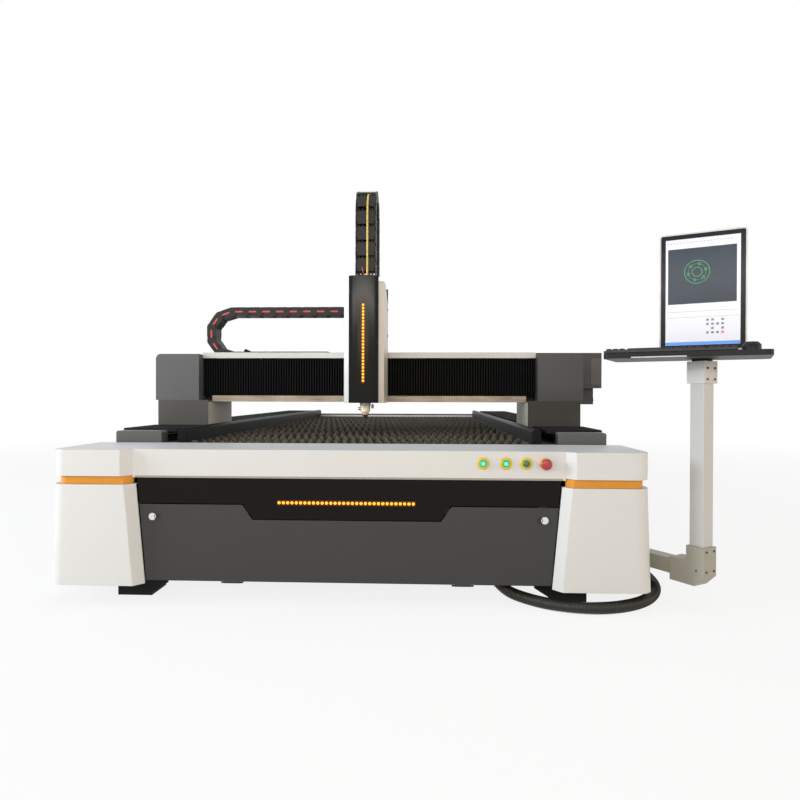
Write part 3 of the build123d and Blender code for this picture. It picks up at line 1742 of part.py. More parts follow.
with BuildPart() as first_gland:
    with BuildSketch(Plane.XY.offset(beam_bottom)):
        with Locations((hose_start[0], hose_start[1])):
            Circle(gland_radius)
    extrude(amount=-gland_length)
with BuildPart() as second_gland:
    with BuildSketch(Plane.YZ.offset(leg_outside + wall)):
        with Locations((hose_finish[1], hose_finish[2])):
            Circle(gland_radius)
    extrude(amount=gland_length)
save(Compound(children=[first_gland.part, second_gland.part]), "hose_glands")
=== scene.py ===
# %% [markdown]
# # A fiber laser cutting machine, dressed for a picture
#
# The solids of the machine come from a CAD model, which is loaded as a fixed frame in metres.
# +X is the operator's right, +Y runs from the front to the rear and +Z is up. This script gives
# the solids their finishes, and adds the fine pieces that a solid model leaves out: chain links,
# pleats, lamps, keys, screws and the ribs of the hose.

# %% Load the frame
import json
import math

import bmesh
import bpy
from mathutils import Euler, Matrix, Vector
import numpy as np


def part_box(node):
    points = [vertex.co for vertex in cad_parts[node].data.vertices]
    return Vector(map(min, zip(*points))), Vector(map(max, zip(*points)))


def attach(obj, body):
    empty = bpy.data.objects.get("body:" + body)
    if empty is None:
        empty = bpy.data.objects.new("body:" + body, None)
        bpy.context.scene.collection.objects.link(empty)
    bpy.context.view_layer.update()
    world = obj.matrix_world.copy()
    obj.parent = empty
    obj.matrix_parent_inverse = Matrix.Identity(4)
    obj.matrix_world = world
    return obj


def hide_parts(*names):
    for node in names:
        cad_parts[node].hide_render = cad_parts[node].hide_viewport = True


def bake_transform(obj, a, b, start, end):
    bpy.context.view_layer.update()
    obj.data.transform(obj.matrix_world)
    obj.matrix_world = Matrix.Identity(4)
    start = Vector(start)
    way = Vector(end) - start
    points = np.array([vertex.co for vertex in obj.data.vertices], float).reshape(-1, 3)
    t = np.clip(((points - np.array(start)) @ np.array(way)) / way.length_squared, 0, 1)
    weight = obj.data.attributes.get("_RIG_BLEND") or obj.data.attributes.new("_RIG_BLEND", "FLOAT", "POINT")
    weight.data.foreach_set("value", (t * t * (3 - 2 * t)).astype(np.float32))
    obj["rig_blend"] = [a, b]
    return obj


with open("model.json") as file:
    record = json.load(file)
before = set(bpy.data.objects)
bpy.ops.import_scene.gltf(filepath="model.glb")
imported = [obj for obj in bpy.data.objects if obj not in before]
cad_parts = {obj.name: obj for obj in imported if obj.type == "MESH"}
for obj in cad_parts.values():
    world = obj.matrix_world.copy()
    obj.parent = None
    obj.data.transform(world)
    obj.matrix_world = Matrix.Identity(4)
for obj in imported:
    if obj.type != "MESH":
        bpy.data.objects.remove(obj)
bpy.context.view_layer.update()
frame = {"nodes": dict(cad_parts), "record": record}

body_of_node = {
    node: body for body, nodes in frame["record"]["behaviour"]["bodies"].items() for node in nodes
}

# %% [markdown]
# ## Sizes that the dressing shares with the solids
#
# A piece that is added here has to sit on its solid, so it repeats the few driving sizes it
# needs, in metres. FRONT is the front face of the white corner covers.

# %% Shared sizes
FRONT = -2.080
BED_HALF = 1.100
LEG_FRONT = FRONT + 0.850
LEG_REAR = LEG_FRONT + 0.390
CARRIAGE_X = 0.006
HEAD_FRONT = FRONT + 0.620
HEAD_AXIS_Y = FRONT + 0.735
SIDE_COVER_X = 0.097
BELLOWS_FRONT = LEG_FRONT + 0.062
POST = Vector((1.359, FRONT + 0.080, 0.0))
TRAY_YAW = math.radians(26.4)
TRAY_TOP = 0.973
# Stands a piece up, so that its local Z points to the front
TO_FRONT = Matrix.Rotation(math.radians(90), 4, "X")
print("gantry from", LEG_FRONT, "to", LEG_REAR)

# %% [markdown]
# ## Colours and nodes
#
# Colours are easiest to judge as they look on a screen, but a renderer adds up light in linear
# values, so a helper turns a screen colour, from 0 to 255, into a linear one. Another helper adds
# a node and fills its inputs, each with a value or with a link from another node.


# %% Helpers for colours and nodes
def tone(red, green, blue):
    """Returns a linear colour for a screen colour given from 0 to 255."""
    shares = [value / 255 for value in (red, green, blue)]
    return (*(v / 12.92 if v <= 0.04045 else ((v + 0.055) / 1.055) ** 2.4 for v in shares), 1.0)


def set_inputs(tree, node, inputs):
    """Fills a node's inputs; each is a plain value or a socket to link from."""
    for place, value in inputs.items():
        if hasattr(value, "is_output"):
            tree.links.new(value, node.inputs[place])
        else:
            node.inputs[place].default_value = value


def add_node(tree, kind, inputs=None, **settings):
    """Adds a node with its settings and inputs."""
    node = tree.nodes.new(kind)
    for label, value in settings.items():
        setattr(node, label, value)
    set_inputs(tree, node, inputs or {})
    return node


def noise(tree, vector, scale, detail):
    """Adds a noise texture and returns its value."""
    inputs = {"Vector": vector, "Scale": scale, "Detail": detail}
    return add_node(tree, "ShaderNodeTexNoise", inputs).outputs["Fac"]


def maths(tree, operation, *values):
    """Adds a maths node and returns its result."""
    return add_node(tree, "ShaderNodeMath", dict(enumerate(values)), operation=operation).outputs[0]


# Where a mix node keeps its two colours and its mixed colour
MIX_FIRST, MIX_SECOND, MIX_RESULT = 6, 7, 2


def blend_colours(tree, share, first, second):
    """Adds a colour mix; share runs from first to second."""
    inputs = {"Factor": share, MIX_FIRST: first, MIX_SECOND: second}
    return add_node(tree, "ShaderNodeMix", inputs, data_type="RGBA").outputs[MIX_RESULT]


def bump(tree, height, strength, distance):
    """Adds a bump node and returns its normal."""
    inputs = {"Height": height, "Strength": strength, "Distance": distance}
    return add_node(tree, "ShaderNodeBump", inputs).outputs["Normal"]


print("mid grey in linear light:", round(tone(128, 128, 128)[0], 3))

# %% [markdown]
# ## Shader groups
#
# Many finishes share an effect: powder coat has a fine grain and faint cloudiness, and rolled
# steel has streaks and stains. Each effect is a node group with named inputs, built once. A group
# gives out a colour, a roughness and a normal, and the Principled shader stays in each material.


# %% A helper that builds a shader group
def make_group(name, inputs, effect):
    """Builds a shader group; effect adds its nodes and returns a colour, a roughness and a normal."""
    tree = bpy.data.node_groups.new(name, "ShaderNodeTree")
    for label, default in inputs.items():
        kind = "NodeSocketColor" if isinstance(default, tuple) else "NodeSocketFloat"
        tree.interface.new_socket(label, in_out="INPUT", socket_type=kind).default_value = default
    outputs = {"Colour": "Color", "Roughness": "Float", "Normal": "Vector"}
    for label, kind in outputs.items():
        tree.interface.new_socket(label, in_out="OUTPUT", socket_type=f"NodeSocket{kind}")
    place = add_node(tree, "ShaderNodeTexCoord").outputs["Object"]
    results = effect(tree, add_node(tree, "NodeGroupInput").outputs, place)
    add_node(tree, "NodeGroupOutput", dict(zip(outputs, results)))
    print(name, "nodes:", len(tree.nodes))
    return tree


# %% Powder coat and moulded plastic
def coat_effect(tree, given, place):
    """Clouds the colour, smears the roughness and adds a fine grain."""
    clouds = maths(tree, "MULTIPLY", noise(tree, place, given["Cloud Size"], 5.0), given["Clouding"])
    smears = maths(tree, "SUBTRACT", noise(tree, place, 14.0, 4.0), 0.5)
    return (
        blend_colours(tree, clouds, given["Colour"], given["Shade"]),
        maths(tree, "MULTIPLY_ADD", smears, given["Spread"], given["Roughness"]),
        bump(tree, noise(tree, place, given["Grain Size"], 2.0), given["Grain"], 0.0004),
    )


coat_grain = make_group(
    "coat_grain",
    {
        "Colour": (0.5, 0.5, 0.5, 1.0), "Shade": (0.4, 0.4, 0.4, 1.0), "Cloud Size": 3.0, "Clouding": 0.3,
        "Grain Size": 900.0, "Grain": 0.1, "Roughness": 0.4, "Spread": 0.1,
    },
    coat_effect,
)


# %% Brushed and rolled steel
def steel_effect(tree, given, place):
    """Stains the colour along streaks, which also vary the roughness and the height."""
    along = add_node(tree, "ShaderNodeMapping", {"Vector": place, "Scale": (1.0, 26.0, 26.0)})
    streaks = noise(tree, along.outputs["Vector"], given["Streak Size"], 6.0)
    stains = maths(tree, "MULTIPLY", noise(tree, place, 9.0, 6.0), streaks)
    stains = maths(tree, "MULTIPLY", maths(tree, "MULTIPLY", stains, given["Staining"]), 2.4)
    return (
        blend_colours(tree, stains, given["Colour"], given["Stain"]),
        maths(tree, "MULTIPLY_ADD", streaks, given["Spread"], given["Roughness"]),
        bump(tree, streaks, given["Depth"], 0.0006),
    )


rolled_steel = make_group(
    "rolled_steel",
    {
        "Colour": (0.5, 0.5, 0.5, 1.0), "Stain": (0.3, 0.25, 0.2, 1.0), "Staining": 0.4, "Streak Size": 6.0,
        "Depth": 0.2, "Roughness": 0.35, "Spread": 0.25,
    },
    steel_effect,
)

# %% [markdown]
# ## Materials
#
# Each material places one of the groups with its own values, and sets what is the same all over,
# such as metallic, coat or specular, on the Principled shader's own sockets.


# %% A helper for finishes
def finish(name, group, values, metallic=0.0, specular=0.5, coat=0.0, glow=None):
    """Builds a material from a shader group and plain Principled values."""
    material = bpy.data.materials.new(name)
    material.use_nodes = True
    tree = material.node_tree
    shader = tree.nodes["Principled BSDF"]
    effect = add_node(tree, "ShaderNodeGroup", values, node_tree=group).outputs
    inputs = {
        "Base Color": effect["Colour"], "Roughness": effect["Roughness"], "Normal": effect["Normal"],
        "Metallic": metallic, "Specular IOR Level": specular, "Coat Weight": coat, "Coat Roughness": 0.05,
    }
    if glow:
        inputs["Emission Color"], inputs["Emission Strength"] = tone(*glow[:3]), glow[3]
    set_inputs(tree, shader, inputs)
    material.diffuse_color = values["Colour"]
    return material


def coated(name, colour, shade=None, rough=0.42, grain=0.12, size=900.0, clouding=0.35, **more):
    """Builds a paint or plastic finish; colour and shade are screen colours."""
    shade = shade or tuple(0.9 * value for value in colour)
    values = {"Colour": tone(*colour), "Shade": tone(*shade), "Clouding": clouding}
    values |= {"Grain": grain, "Grain Size": size, "Roughness": rough}
    return finish(name, coat_grain, values, **more)


def steel(name, colour, stain, rough=0.32, staining=0.4, metallic=0.85, **more):
    """Builds a steel finish; colour and stain are screen colours."""
    values = {"Colour": tone(*colour), "Stain": tone(*stain), "Staining": staining, "Roughness": rough}
    return finish(name, rolled_steel, values, metallic=metallic, **more)


# %% Paints
white_paint = coated("white_paint", (225, 225, 224), (215, 213, 209), rough=0.36, coat=0.15)
# The tops of the white covers get a darker, bluer white: painted shade.
painted_shade_cover_tops = coated("cover_tops_painted_shade", (202, 204, 207), (186, 188, 192), rough=0.4, specular=0.3)
# A darker beige line under the centre cover's band: painted shade.
painted_shade_lip = coated("centre_lip_painted_shade", (172, 166, 154), (146, 139, 126), rough=0.5, specular=0.3)
# A warmer white for the head's right side cover: painted warm light.
painted_warm_light_white = coated("head_cover_painted_warm_light", (226, 222, 212), (206, 199, 184), rough=0.4, coat=0.15)
orange_paint = coated("orange_paint", (236, 158, 30), (222, 138, 20), rough=0.38, coat=0.2)
grey_panel = coated("grey_panel_paint", (66, 66, 66), (58, 58, 58), rough=0.62, grain=0.3, specular=0.25)
# Left and right copies of one grey: the lighter one on the left is painted light, the darker one on the
# right painted shade.
painted_light_motor_covers = coated("near_motor_covers_painted_light", (102, 103, 104), (90, 91, 92), rough=0.5, grain=0.22, specular=0.3)
painted_shade_motor_covers = coated("far_motor_covers_painted_shade", (80, 80, 79), (70, 70, 69), rough=0.45, grain=0.22, specular=0.35)
# The legs likewise: painted light on the left leg, painted shade on the right one.
painted_light_legs = coated("near_legs_painted_light", (88, 86, 82), (74, 73, 70), rough=0.55, grain=0.2, specular=0.3)
painted_shade_legs = coated("far_legs_painted_shade", (66, 65, 62), (56, 55, 53), rough=0.55, grain=0.2, specular=0.3)
box_grey = coated("end_box_paint", (96, 96, 96), (84, 84, 84), rough=0.5, grain=0.2)
frame_grey = coated("frame_paint", (50, 50, 50), (40, 40, 40), rough=0.6, grain=0.25, specular=0.25)
console_grey = coated("console_paint", (206, 207, 206), (186, 184, 178), rough=0.36, coat=0.2)
elbow_grey = coated("elbow_paint", (172, 170, 158), (150, 146, 134), rough=0.5, grain=0.2)
plate_beige = coated("inner_plate_paint", (222, 216, 202), (184, 178, 160), rough=0.4, clouding=0.6)
print("paints:", len(bpy.data.materials))

# %% Plastics, cloth and rubber
gloss_black = coated("gloss_black", (20, 19, 18), (14, 13, 12), rough=0.14, grain=0.02, specular=0.12)
head_black = coated("head_gloss_black", (12, 11, 10), (8, 7, 6), rough=0.17, grain=0.03, specular=0.2)
guard_black = coated("guard_black", (18, 18, 19), (13, 13, 14), rough=0.45, grain=0.15, specular=0.12)
foot_black = coated("foot_black", (20, 21, 22), (28, 28, 28), rough=0.6, grain=0.4, specular=0.2)
cloth_black = coated(
    "bellows_cloth", (13, 13, 13), (20, 20, 20), rough=0.72, grain=0.5, size=2200.0, specular=0.2
)
link_plastic = coated("link_plastic", (40, 39, 38), (30, 29, 28), rough=0.5, grain=0.25, specular=0.3)
dash_red = coated("dash_red", (214, 84, 84), (196, 70, 72), rough=0.5)
hose_plastic = coated("hose_plastic", (46, 46, 38), (32, 32, 28), rough=0.42, clouding=0.6, specular=0.35)
black_plastic = coated("black_plastic", (20, 20, 22), (14, 14, 16), rough=0.45, grain=0.3, specular=0.25)
key_plastic = coated("key_plastic", (30, 30, 33), (24, 24, 27), rough=0.5, grain=0.3)
bezel_navy = coated("bezel_navy", (14, 18, 34), (10, 13, 26), rough=0.2, grain=0.05, specular=0.15)
silver_plastic = coated("silver_plastic", (212, 212, 208), (196, 196, 192), rough=0.35, coat=0.2)
ring_yellow = coated("ring_yellow", (222, 192, 36), (206, 172, 28), rough=0.3, coat=0.4)
red_plastic = coated("mushroom_red", (176, 48, 50), (156, 40, 44), rough=0.35, coat=0.3)
fibre_yellow = coated("fibre_yellow", (232, 205, 88), (216, 186, 70), rough=0.35, coat=0.3)
wire_pink = coated("wire_pink", (196, 92, 100), (176, 78, 88), rough=0.4)
hose_brown = coated("hose_brown", (72, 56, 50), (58, 46, 42), rough=0.5)
wire_black = coated("wire_black", (22, 22, 22), (30, 30, 30), rough=0.5)
print("materials so far:", len(bpy.data.materials))

# %% Metals
slat_steel = steel(
    "scorched_slats", (128, 124, 112), (70, 60, 46), rough=0.5, staining=0.7, metallic=0.3, specular=0.3
)
strip_steel = steel("beam_strip_steel", (198, 188, 170), (138, 122, 102), staining=0.9, metallic=0.3)
plain_steel = steel("ground_steel", (176, 176, 176), (120, 118, 112), rough=0.28)
screw_steel = steel("screw_steel", (104, 102, 98), (60, 58, 54), rough=0.35)
chrome = steel("lock_chrome", (228, 228, 230), (170, 170, 172), rough=0.12, staining=0.2)
sensor_cream = steel("sensor_cream", (244, 234, 200), (206, 186, 136), rough=0.25, metallic=0.4)
nozzle_copper = steel("nozzle_copper", (196, 160, 142), (140, 96, 78), rough=0.25, metallic=0.9)
print("materials in all:", len(bpy.data.materials))

# %% Darker towards the roots of the slats
DARKEST_AT, PLAIN_FROM = 0.576, 0.602
slat_tree = slat_steel.node_tree
slat_place = add_node(slat_tree, "ShaderNodeTexCoord").outputs["Object"]
slat_height = add_node(slat_tree, "ShaderNodeSeparateXYZ", {"Vector": slat_place}).outputs["Z"]
darkening_share = add_node(
    slat_tree, "ShaderNodeMapRange", {"Value": slat_height, "From Min": DARKEST_AT, "From Max": PLAIN_FROM}
)
slat_group = [node for node in slat_tree.nodes if node.type == "GROUP"][0]
darkened_colour = blend_colours(
    slat_tree, darkening_share.outputs["Result"], tone(16, 16, 15), slat_group.outputs["Colour"]
)
set_inputs(slat_tree, slat_tree.nodes["Principled BSDF"], {"Base Color": darkened_colour})
print("darker over the roots below", PLAIN_FROM)

# %% Lit lenses and the screen's parts
lens_green = coated("lens_green", (36, 150, 96), (30, 130, 84), rough=0.25, glow=(30, 190, 120, 0.3))
lens_bright = coated("lens_bright_green", (90, 235, 190), rough=0.3, glow=(80, 240, 190, 0.7))
lens_dark = coated("lens_dark_green", (52, 112, 80), (44, 96, 70), rough=0.3, coat=0.4)
lamp_amber = coated("lamp_amber", (255, 180, 50), (255, 160, 30), rough=0.3, glow=(255, 166, 34, 1.1))
strip_amber = coated(
    "strip_amber", (74, 34, 8), (50, 22, 6), rough=0.3, specular=0.2, glow=(150, 62, 8, 0.12)
)
screen_pale = coated(
    "screen_pale", (200, 202, 212), (190, 190, 204), rough=0.2, glow=(228, 228, 238, 0.42)
)
screen_slate = coated(
    "screen_slate", (34, 42, 54), (30, 38, 50), rough=0.2, specular=0.2, glow=(72, 90, 108, 0.27)
)
screen_blue = coated("screen_blue", (70, 140, 220), rough=0.2, glow=(70, 140, 220, 0.5))
screen_grey = coated("screen_grey", (120, 122, 130), rough=0.3, glow=(120, 122, 130, 0.3))
screen_faint = coated("screen_faint", (176, 178, 190), rough=0.3, glow=(186, 188, 200, 0.4))
screen_green = coated("screen_green", (60, 180, 110), rough=0.3, glow=(60, 180, 110, 0.5))
screen_red = coated("screen_red", (210, 90, 96), rough=0.3, glow=(210, 90, 96, 0.4))
print("finishes ready:", len(bpy.data.materials))

# %% [markdown]
# ## Softening the solids
#
# A CAD solid arrives as loose triangles with perfectly sharp edges. Real sheet metal has a small
# radius at each fold, which catches a line of light. A copy of each visible solid is merged,
# its flat triangles are dissolved, and a narrow bevel is added. The copy stands for its solid.


# %% Helpers for pieces
def new_object(name, data, body=None):
    """Puts a new object in the scene and lets it ride on a body."""
    made = bpy.data.objects.new(name, data)
    bpy.context.scene.collection.objects.link(made)
    if body:
        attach(made, body)
    return made


def soften(node, *materials, pick=None, bevel=0.0008, smooth=32.0):
    """Replaces a CAD node with a merged, bevelled copy; pick(centre, normal) chooses a material."""
    mesh = bpy.data.meshes.new(f"{node}_soft")
    work = bmesh.new()
    work.from_mesh(frame["nodes"][node].data)
    bmesh.ops.remove_doubles(work, verts=work.verts, dist=0.00001)
    bmesh.ops.dissolve_limit(work, angle_limit=math.radians(0.4), verts=work.verts, edges=work.edges)
    work.normal_update()
    for face in work.faces:
        face.material_index = pick(face.calc_center_median(), face.normal) if pick else 0
        face.smooth = True
    work.to_mesh(mesh)
    work.free()
    for material in materials:
        mesh.materials.append(material)
    mesh.set_sharp_from_angle(angle=math.radians(smooth))
    piece = new_object(f"{node}_soft", mesh, body_of_node[node])
    if bevel:
        edge = piece.modifiers.new("edge", "BEVEL")
        edge.width = bevel
        edge.segments = 2
        edge.limit_method = "ANGLE"
        edge.angle_limit = math.radians(smooth)
        edge.harden_normals = True
    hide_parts(node)
    return piece


def paint(material, *nodes):
    """Gives CAD nodes that stay in view their material."""
    for node in nodes:
        data = frame["nodes"][node].data
        data.materials.clear()
        data.materials.append(material)


def add_piece(name, mesh, material, body=None):
    """Makes an object from a finished mesh and lets it ride on a body."""
    mesh.materials.clear()
    mesh.materials.append(material)
    return new_object(name, mesh, body)


print("helpers for pieces ready")


# %% Bed, covers and feet
def by_top(centre, normal):
    """Picks the second material, a painted shade, for faces that look up."""
    return 1 if normal.z > 0.9 else 0


for node in ("side_beams", "bed_cross_members"):
    soften(node, frame_grey)
soften("feet", foot_black, bevel=0.0015)
soften("bed_ledges", frame_grey, bevel=0.0005)
# Upward faces of the covers take the painted shade.
for node in ("centre_cover", "upper_corner_covers", "lower_corner_covers"):
    soften(node, white_paint, painted_shade_cover_tops, pick=by_top, bevel=0.0012)
soften("corner_stripes", orange_paint)
soften("black_front_panel", gloss_black)
soften("rail_guards", guard_black, bevel=0.0015)
soften("rail_end_boxes", box_grey, bevel=0.0015)
soften("bed_panels", grey_panel, bevel=0.0006)
soften("right_side_brackets", frame_grey)
for node in ("front_door", "front_drawer", "rear_drawer"):
    soften(node, grey_panel)
paint(plain_steel, "gantry_rails", "hinge_pins")
print("bed dressed")

# %% Locks and buttons
LENS_REAR = FRONT + 0.0335
for node in ("left_lock", "right_lock"):
    soften(node, chrome, bevel=0.0006)
soften("button_rings", ring_yellow, bevel=0.0006)
soften("emergency_stop", red_plastic, bevel=0.0)
for node, lens in (("start_button", lens_green), ("ready_button", lens_green), ("reset_button", lens_dark)):
    soften(node, lens, black_plastic, pick=lambda centre, normal: int(centre.y >= LENS_REAR), bevel=0.0)
print("buttons dressed")


# %% Gantry and head
def by_painted_light_side(centre, normal):
    """Picks the first material, painted light, left of the middle and the second one, painted shade, right
    of it.
    """
    return 0 if centre.x < 0 else 1


def by_cover(centre, normal):
    """Picks the strip below the beam, its rear slot or its white covers."""
    if centre.z < 0.9:
        return 1
    return 2 if centre.y > LEG_FRONT + 0.256 else 0


def by_head_height(centre, normal):
    """Picks the sensor, the body or the neck of the cutting head."""
    return sum(centre.z >= height for height in (0.7605, 0.83))


# The legs and motor covers take painted light on the left and painted shade on the right.
soften("gantry_legs", painted_light_legs, painted_shade_legs, pick=by_painted_light_side, bevel=0.0015)
soften("gantry_beam", frame_grey, bevel=0.0015)
soften("beam_covers", white_paint, strip_steel, guard_black, pick=by_cover, bevel=0.0006)
soften("gantry_covers", painted_light_motor_covers, painted_shade_motor_covers, pick=by_painted_light_side, bevel=0.0012)
paint(black_plastic, "gantry_motors")
paint(plain_steel, "beam_rails", "left_pinion", "right_pinion", "x_pinion", "z_screw")
soften("carriage_frame", frame_grey, bevel=0.001)
soften("carriage_motors", black_plastic, bevel=0.001)
soften("head_front_cover", head_black, bevel=0.001, smooth=24.0)
# The head's right side cover takes the painted warm light; the left one stays plain white.
soften(
    "head_side_covers", white_paint, painted_warm_light_white,
    pick=lambda centre, normal: int(centre.x >= CARRIAGE_X), bevel=0.001,
)
soften("z_slide", plain_steel)
soften("cutting_head", sensor_cream, black_plastic, plain_steel, pick=by_head_height, bevel=0.0006)
soften("nozzle", nozzle_copper, bevel=0.0004)
print("gantry dressed")

# %% Console
soften("console_arm", elbow_grey, bevel=0.002)
soften("console_post", console_grey, bevel=0.0015)
soften("tray", black_plastic, bevel=0.0015)
soften("mouse", black_plastic, bevel=0.0, smooth=50.0)
soften("monitor_stand", silver_plastic, bevel=0.001)
soften("hose_glands", black_plastic, bevel=0.002)
paint(screen_pale, "monitor_screen")
print("console dressed")

# %% [markdown]
# ## Repeating a piece
#
# Slats, lamps, screws and chain links are one small piece set out many times. A Geometry Nodes
# tree does this: a row of points, or a mesh whose points carry their own turns, gets one
# instance a point. The instances are then made real and turned into a plain mesh.


# %% The two trees
def place_tree(name, in_row):
    """Builds a tree that sets a piece out, in a straight row or on points with their own turns."""
    tree = bpy.data.node_groups.new(name, "GeometryNodeTree")
    add_socket = tree.interface.new_socket
    kinds = {"Geometry": "Geometry", "Piece": "Object", "Finish": "Material"}
    if in_row:
        kinds |= {"Count": "Int", "Start": "Vector", "Step": "Vector"}
    names = {
        label: add_socket(label, in_out="INPUT", socket_type=f"NodeSocket{kind}").identifier
        for label, kind in kinds.items()
    }
    add_socket("Geometry", in_out="OUTPUT", socket_type="NodeSocketGeometry")
    given = add_node(tree, "NodeGroupInput").outputs
    piece = add_node(tree, "GeometryNodeObjectInfo", {"Object": given["Piece"]})
    if in_row:
        line = {"Count": given["Count"], "Start Location": given["Start"], "Offset": given["Step"]}
        places = {"Points": add_node(tree, "GeometryNodeMeshLine", line).outputs["Mesh"]}
    else:
        turn = add_node(
            tree, "GeometryNodeInputNamedAttribute", {"Name": "turn"}, data_type="FLOAT_VECTOR"
        )
        turn = add_node(tree, "FunctionNodeEulerToRotation", {"Euler": turn.outputs["Attribute"]})
        places = {"Points": given["Geometry"], "Rotation": turn.outputs["Rotation"]}
    places["Instance"] = piece.outputs["Geometry"]
    placed = add_node(tree, "GeometryNodeInstanceOnPoints", places).outputs["Instances"]
    real = add_node(tree, "GeometryNodeRealizeInstances", {"Geometry": placed}).outputs["Geometry"]
    dress = {"Geometry": real, "Material": given["Finish"]}
    dressed = add_node(tree, "GeometryNodeSetMaterial", dress).outputs["Geometry"]
    add_node(tree, "NodeGroupOutput", {"Geometry": dressed})
    print(name, "inputs:", list(names))
    return tree, names


straight_row = place_tree("straight_row", in_row=True)
turned_places = place_tree("turned_places", in_row=False)


# %% Helpers that run the trees and keep the result as a plain mesh
def hidden_model(name, mesh):
    """Holds a small mesh as the object that a tree repeats."""
    model = new_object(name, mesh)
    model.hide_render = True
    model.hide_viewport = True
    return model


def made_plain(holder):
    """Turns an object with its modifiers into a plain mesh, and removes the object."""
    graph = bpy.context.evaluated_depsgraph_get()
    mesh = bpy.data.meshes.new_from_object(holder.evaluated_get(graph))
    bpy.data.objects.remove(holder)
    return mesh


def bake_tree(name, carrier, kit, body, smooth, **values):
    """Runs a tree on a carrier mesh and returns a finished object with the result."""
    tree, names = kit
    holder = new_object("holder", carrier)
    modifier = holder.modifiers.new("tree", "NODES")
    modifier.node_group = tree
    for label, value in values.items():
        modifier[names[label]] = value
    mesh = made_plain(holder)
    mesh.name = name
    if smooth:
        mesh.shade_smooth()
        mesh.set_sharp_from_angle(angle=math.radians(smooth))
    return new_object(name, mesh, body)


def set_row(name, model, count, start, step, material, body, smooth=None):
    """Sets a model out in a straight row."""
    values = {"Piece": model, "Finish": material, "Count": count, "Start": start, "Step": step}
    return bake_tree(name, bpy.data.meshes.new("empty"), straight_row, body, smooth, **values)


def set_places(name, model, places, material, body=None, smooth=None):
    """Sets a model on places, each a matrix."""
    points = bpy.data.meshes.new("points")
    points.from_pydata([place.translation for place in places], [], [])
    turns = points.attributes.new("turn", "FLOAT_VECTOR", "POINT")
    for number, place in enumerate(places):
        turns.data[number].vector = place.to_euler()
    return bake_tree(name, points, turned_places, body, smooth, Piece=model, Finish=material)


print("tree helpers ready")

# %% [markdown]
# ## Small shapes
#
# Extruded outlines, turned profiles and tubes make most of the small pieces. All of them are
# rings of corners that are joined up and capped, with faces that point outwards.


# %% Mesh helpers
def outward(mesh):
    """Turns all the faces of a closed mesh outwards."""
    work = bmesh.new()
    work.from_mesh(mesh)
    bmesh.ops.recalc_face_normals(work, faces=work.faces)
    work.to_mesh(mesh)
    work.free()
    return mesh


def lofted(rings):
    """Returns a closed mesh through rings with the same number of corners."""
    count = len(rings[0])
    last = (len(rings) - 1) * count
    faces = []
    for low in range(0, last, count):
        for n in range(count):
            following = (n + 1) % count
            faces.append((low + n, low + following, low + count + following, low + count + n))
    faces += [tuple(reversed(range(count))), tuple(range(last, last + count))]
    mesh = bpy.data.meshes.new("lofted")
    mesh.from_pydata([corner for ring in rings for corner in ring], [], faces)
    return outward(mesh)


def extruded(outline, low, high, place=None):
    """Returns a prism over a flat outline, from low to high along local Z."""
    mesh = lofted([[(x, y, level) for x, y in outline] for level in (low, high)])
    mesh.transform(place or Matrix())
    return mesh


def circle(radius, height, sides):
    """Returns the corners of a level circle."""
    turns = [2 * math.pi * side / sides for side in range(sides)]
    return [(radius * math.cos(turn), radius * math.sin(turn), height) for turn in turns]


def turned(profile, sides=24):
    """Returns a closed round piece from (radius, height) pairs along local Z."""
    return lofted([circle(radius, height, sides) for radius, height in profile])


def slab(low, high):
    """Returns a box between two corners."""
    outline = [(low[0], low[1]), (high[0], low[1]), (high[0], high[1]), (low[0], high[1])]
    return extruded(outline, low[2], high[2])


def joined(meshes):
    """Returns one mesh with all the given ones."""
    work = bmesh.new()
    for mesh in meshes:
        work.from_mesh(mesh)
    result = bpy.data.meshes.new("joined")
    work.to_mesh(result)
    work.free()
    return result


def round_outline(width, height, radius, steps=5, centre=(0.0, 0.0)):
    """Returns the corners of a rectangle with round corners."""
    points = []
    for quarter, (side, end) in enumerate(((1, 1), (-1, 1), (-1, -1), (1, -1))):
        for step in range(steps + 1):
            angle = math.radians(90 * quarter + 90 * step / steps)
            x = centre[0] + side * (width / 2 - radius) + radius * math.cos(angle)
            y = centre[1] + end * (height / 2 - radius) + radius * math.sin(angle)
            points.append((x, y))
    return points


def framed(outer, inner, low, high):
    """Returns a closed ring between two outlines with the same number of corners."""
    count = len(outer)
    corners = [(x, y, level) for level in (low, high) for outline in (outer, inner) for x, y in outline]
    faces = []
    for n in range(count):
        a, b = n, (n + 1) % count
        for first, second in ((0, 2), (2, 3), (3, 1), (1, 0)):
            faces.append((a + first * count, b + first * count, b + second * count, a + second * count))
    mesh = bpy.data.meshes.new("ring")
    mesh.from_pydata(corners, [], faces)
    return outward(mesh)


def disc_ring(outer, inner, inset, steps, thickness):
    """Returns a flat ring between two radii; inset keeps its corners' rounding below the radius."""
    outlines = [round_outline(2 * r, 2 * r, r - inset, steps) for r in (outer, inner)]
    return framed(*outlines, 0.0, thickness)


print("mesh helpers ready")

# %% [markdown]
# ## The hose on the floor
#
# The corrugated hose leaves the frame under the front cross member, drops to the floor, comes
# out in front of the machine and goes back in on the right side. Its middle line is one smooth
# curve through a few points. The ribs are rings of alternating radius along that line, which
# needs a mesh, because a curve's bevel has one radius only.

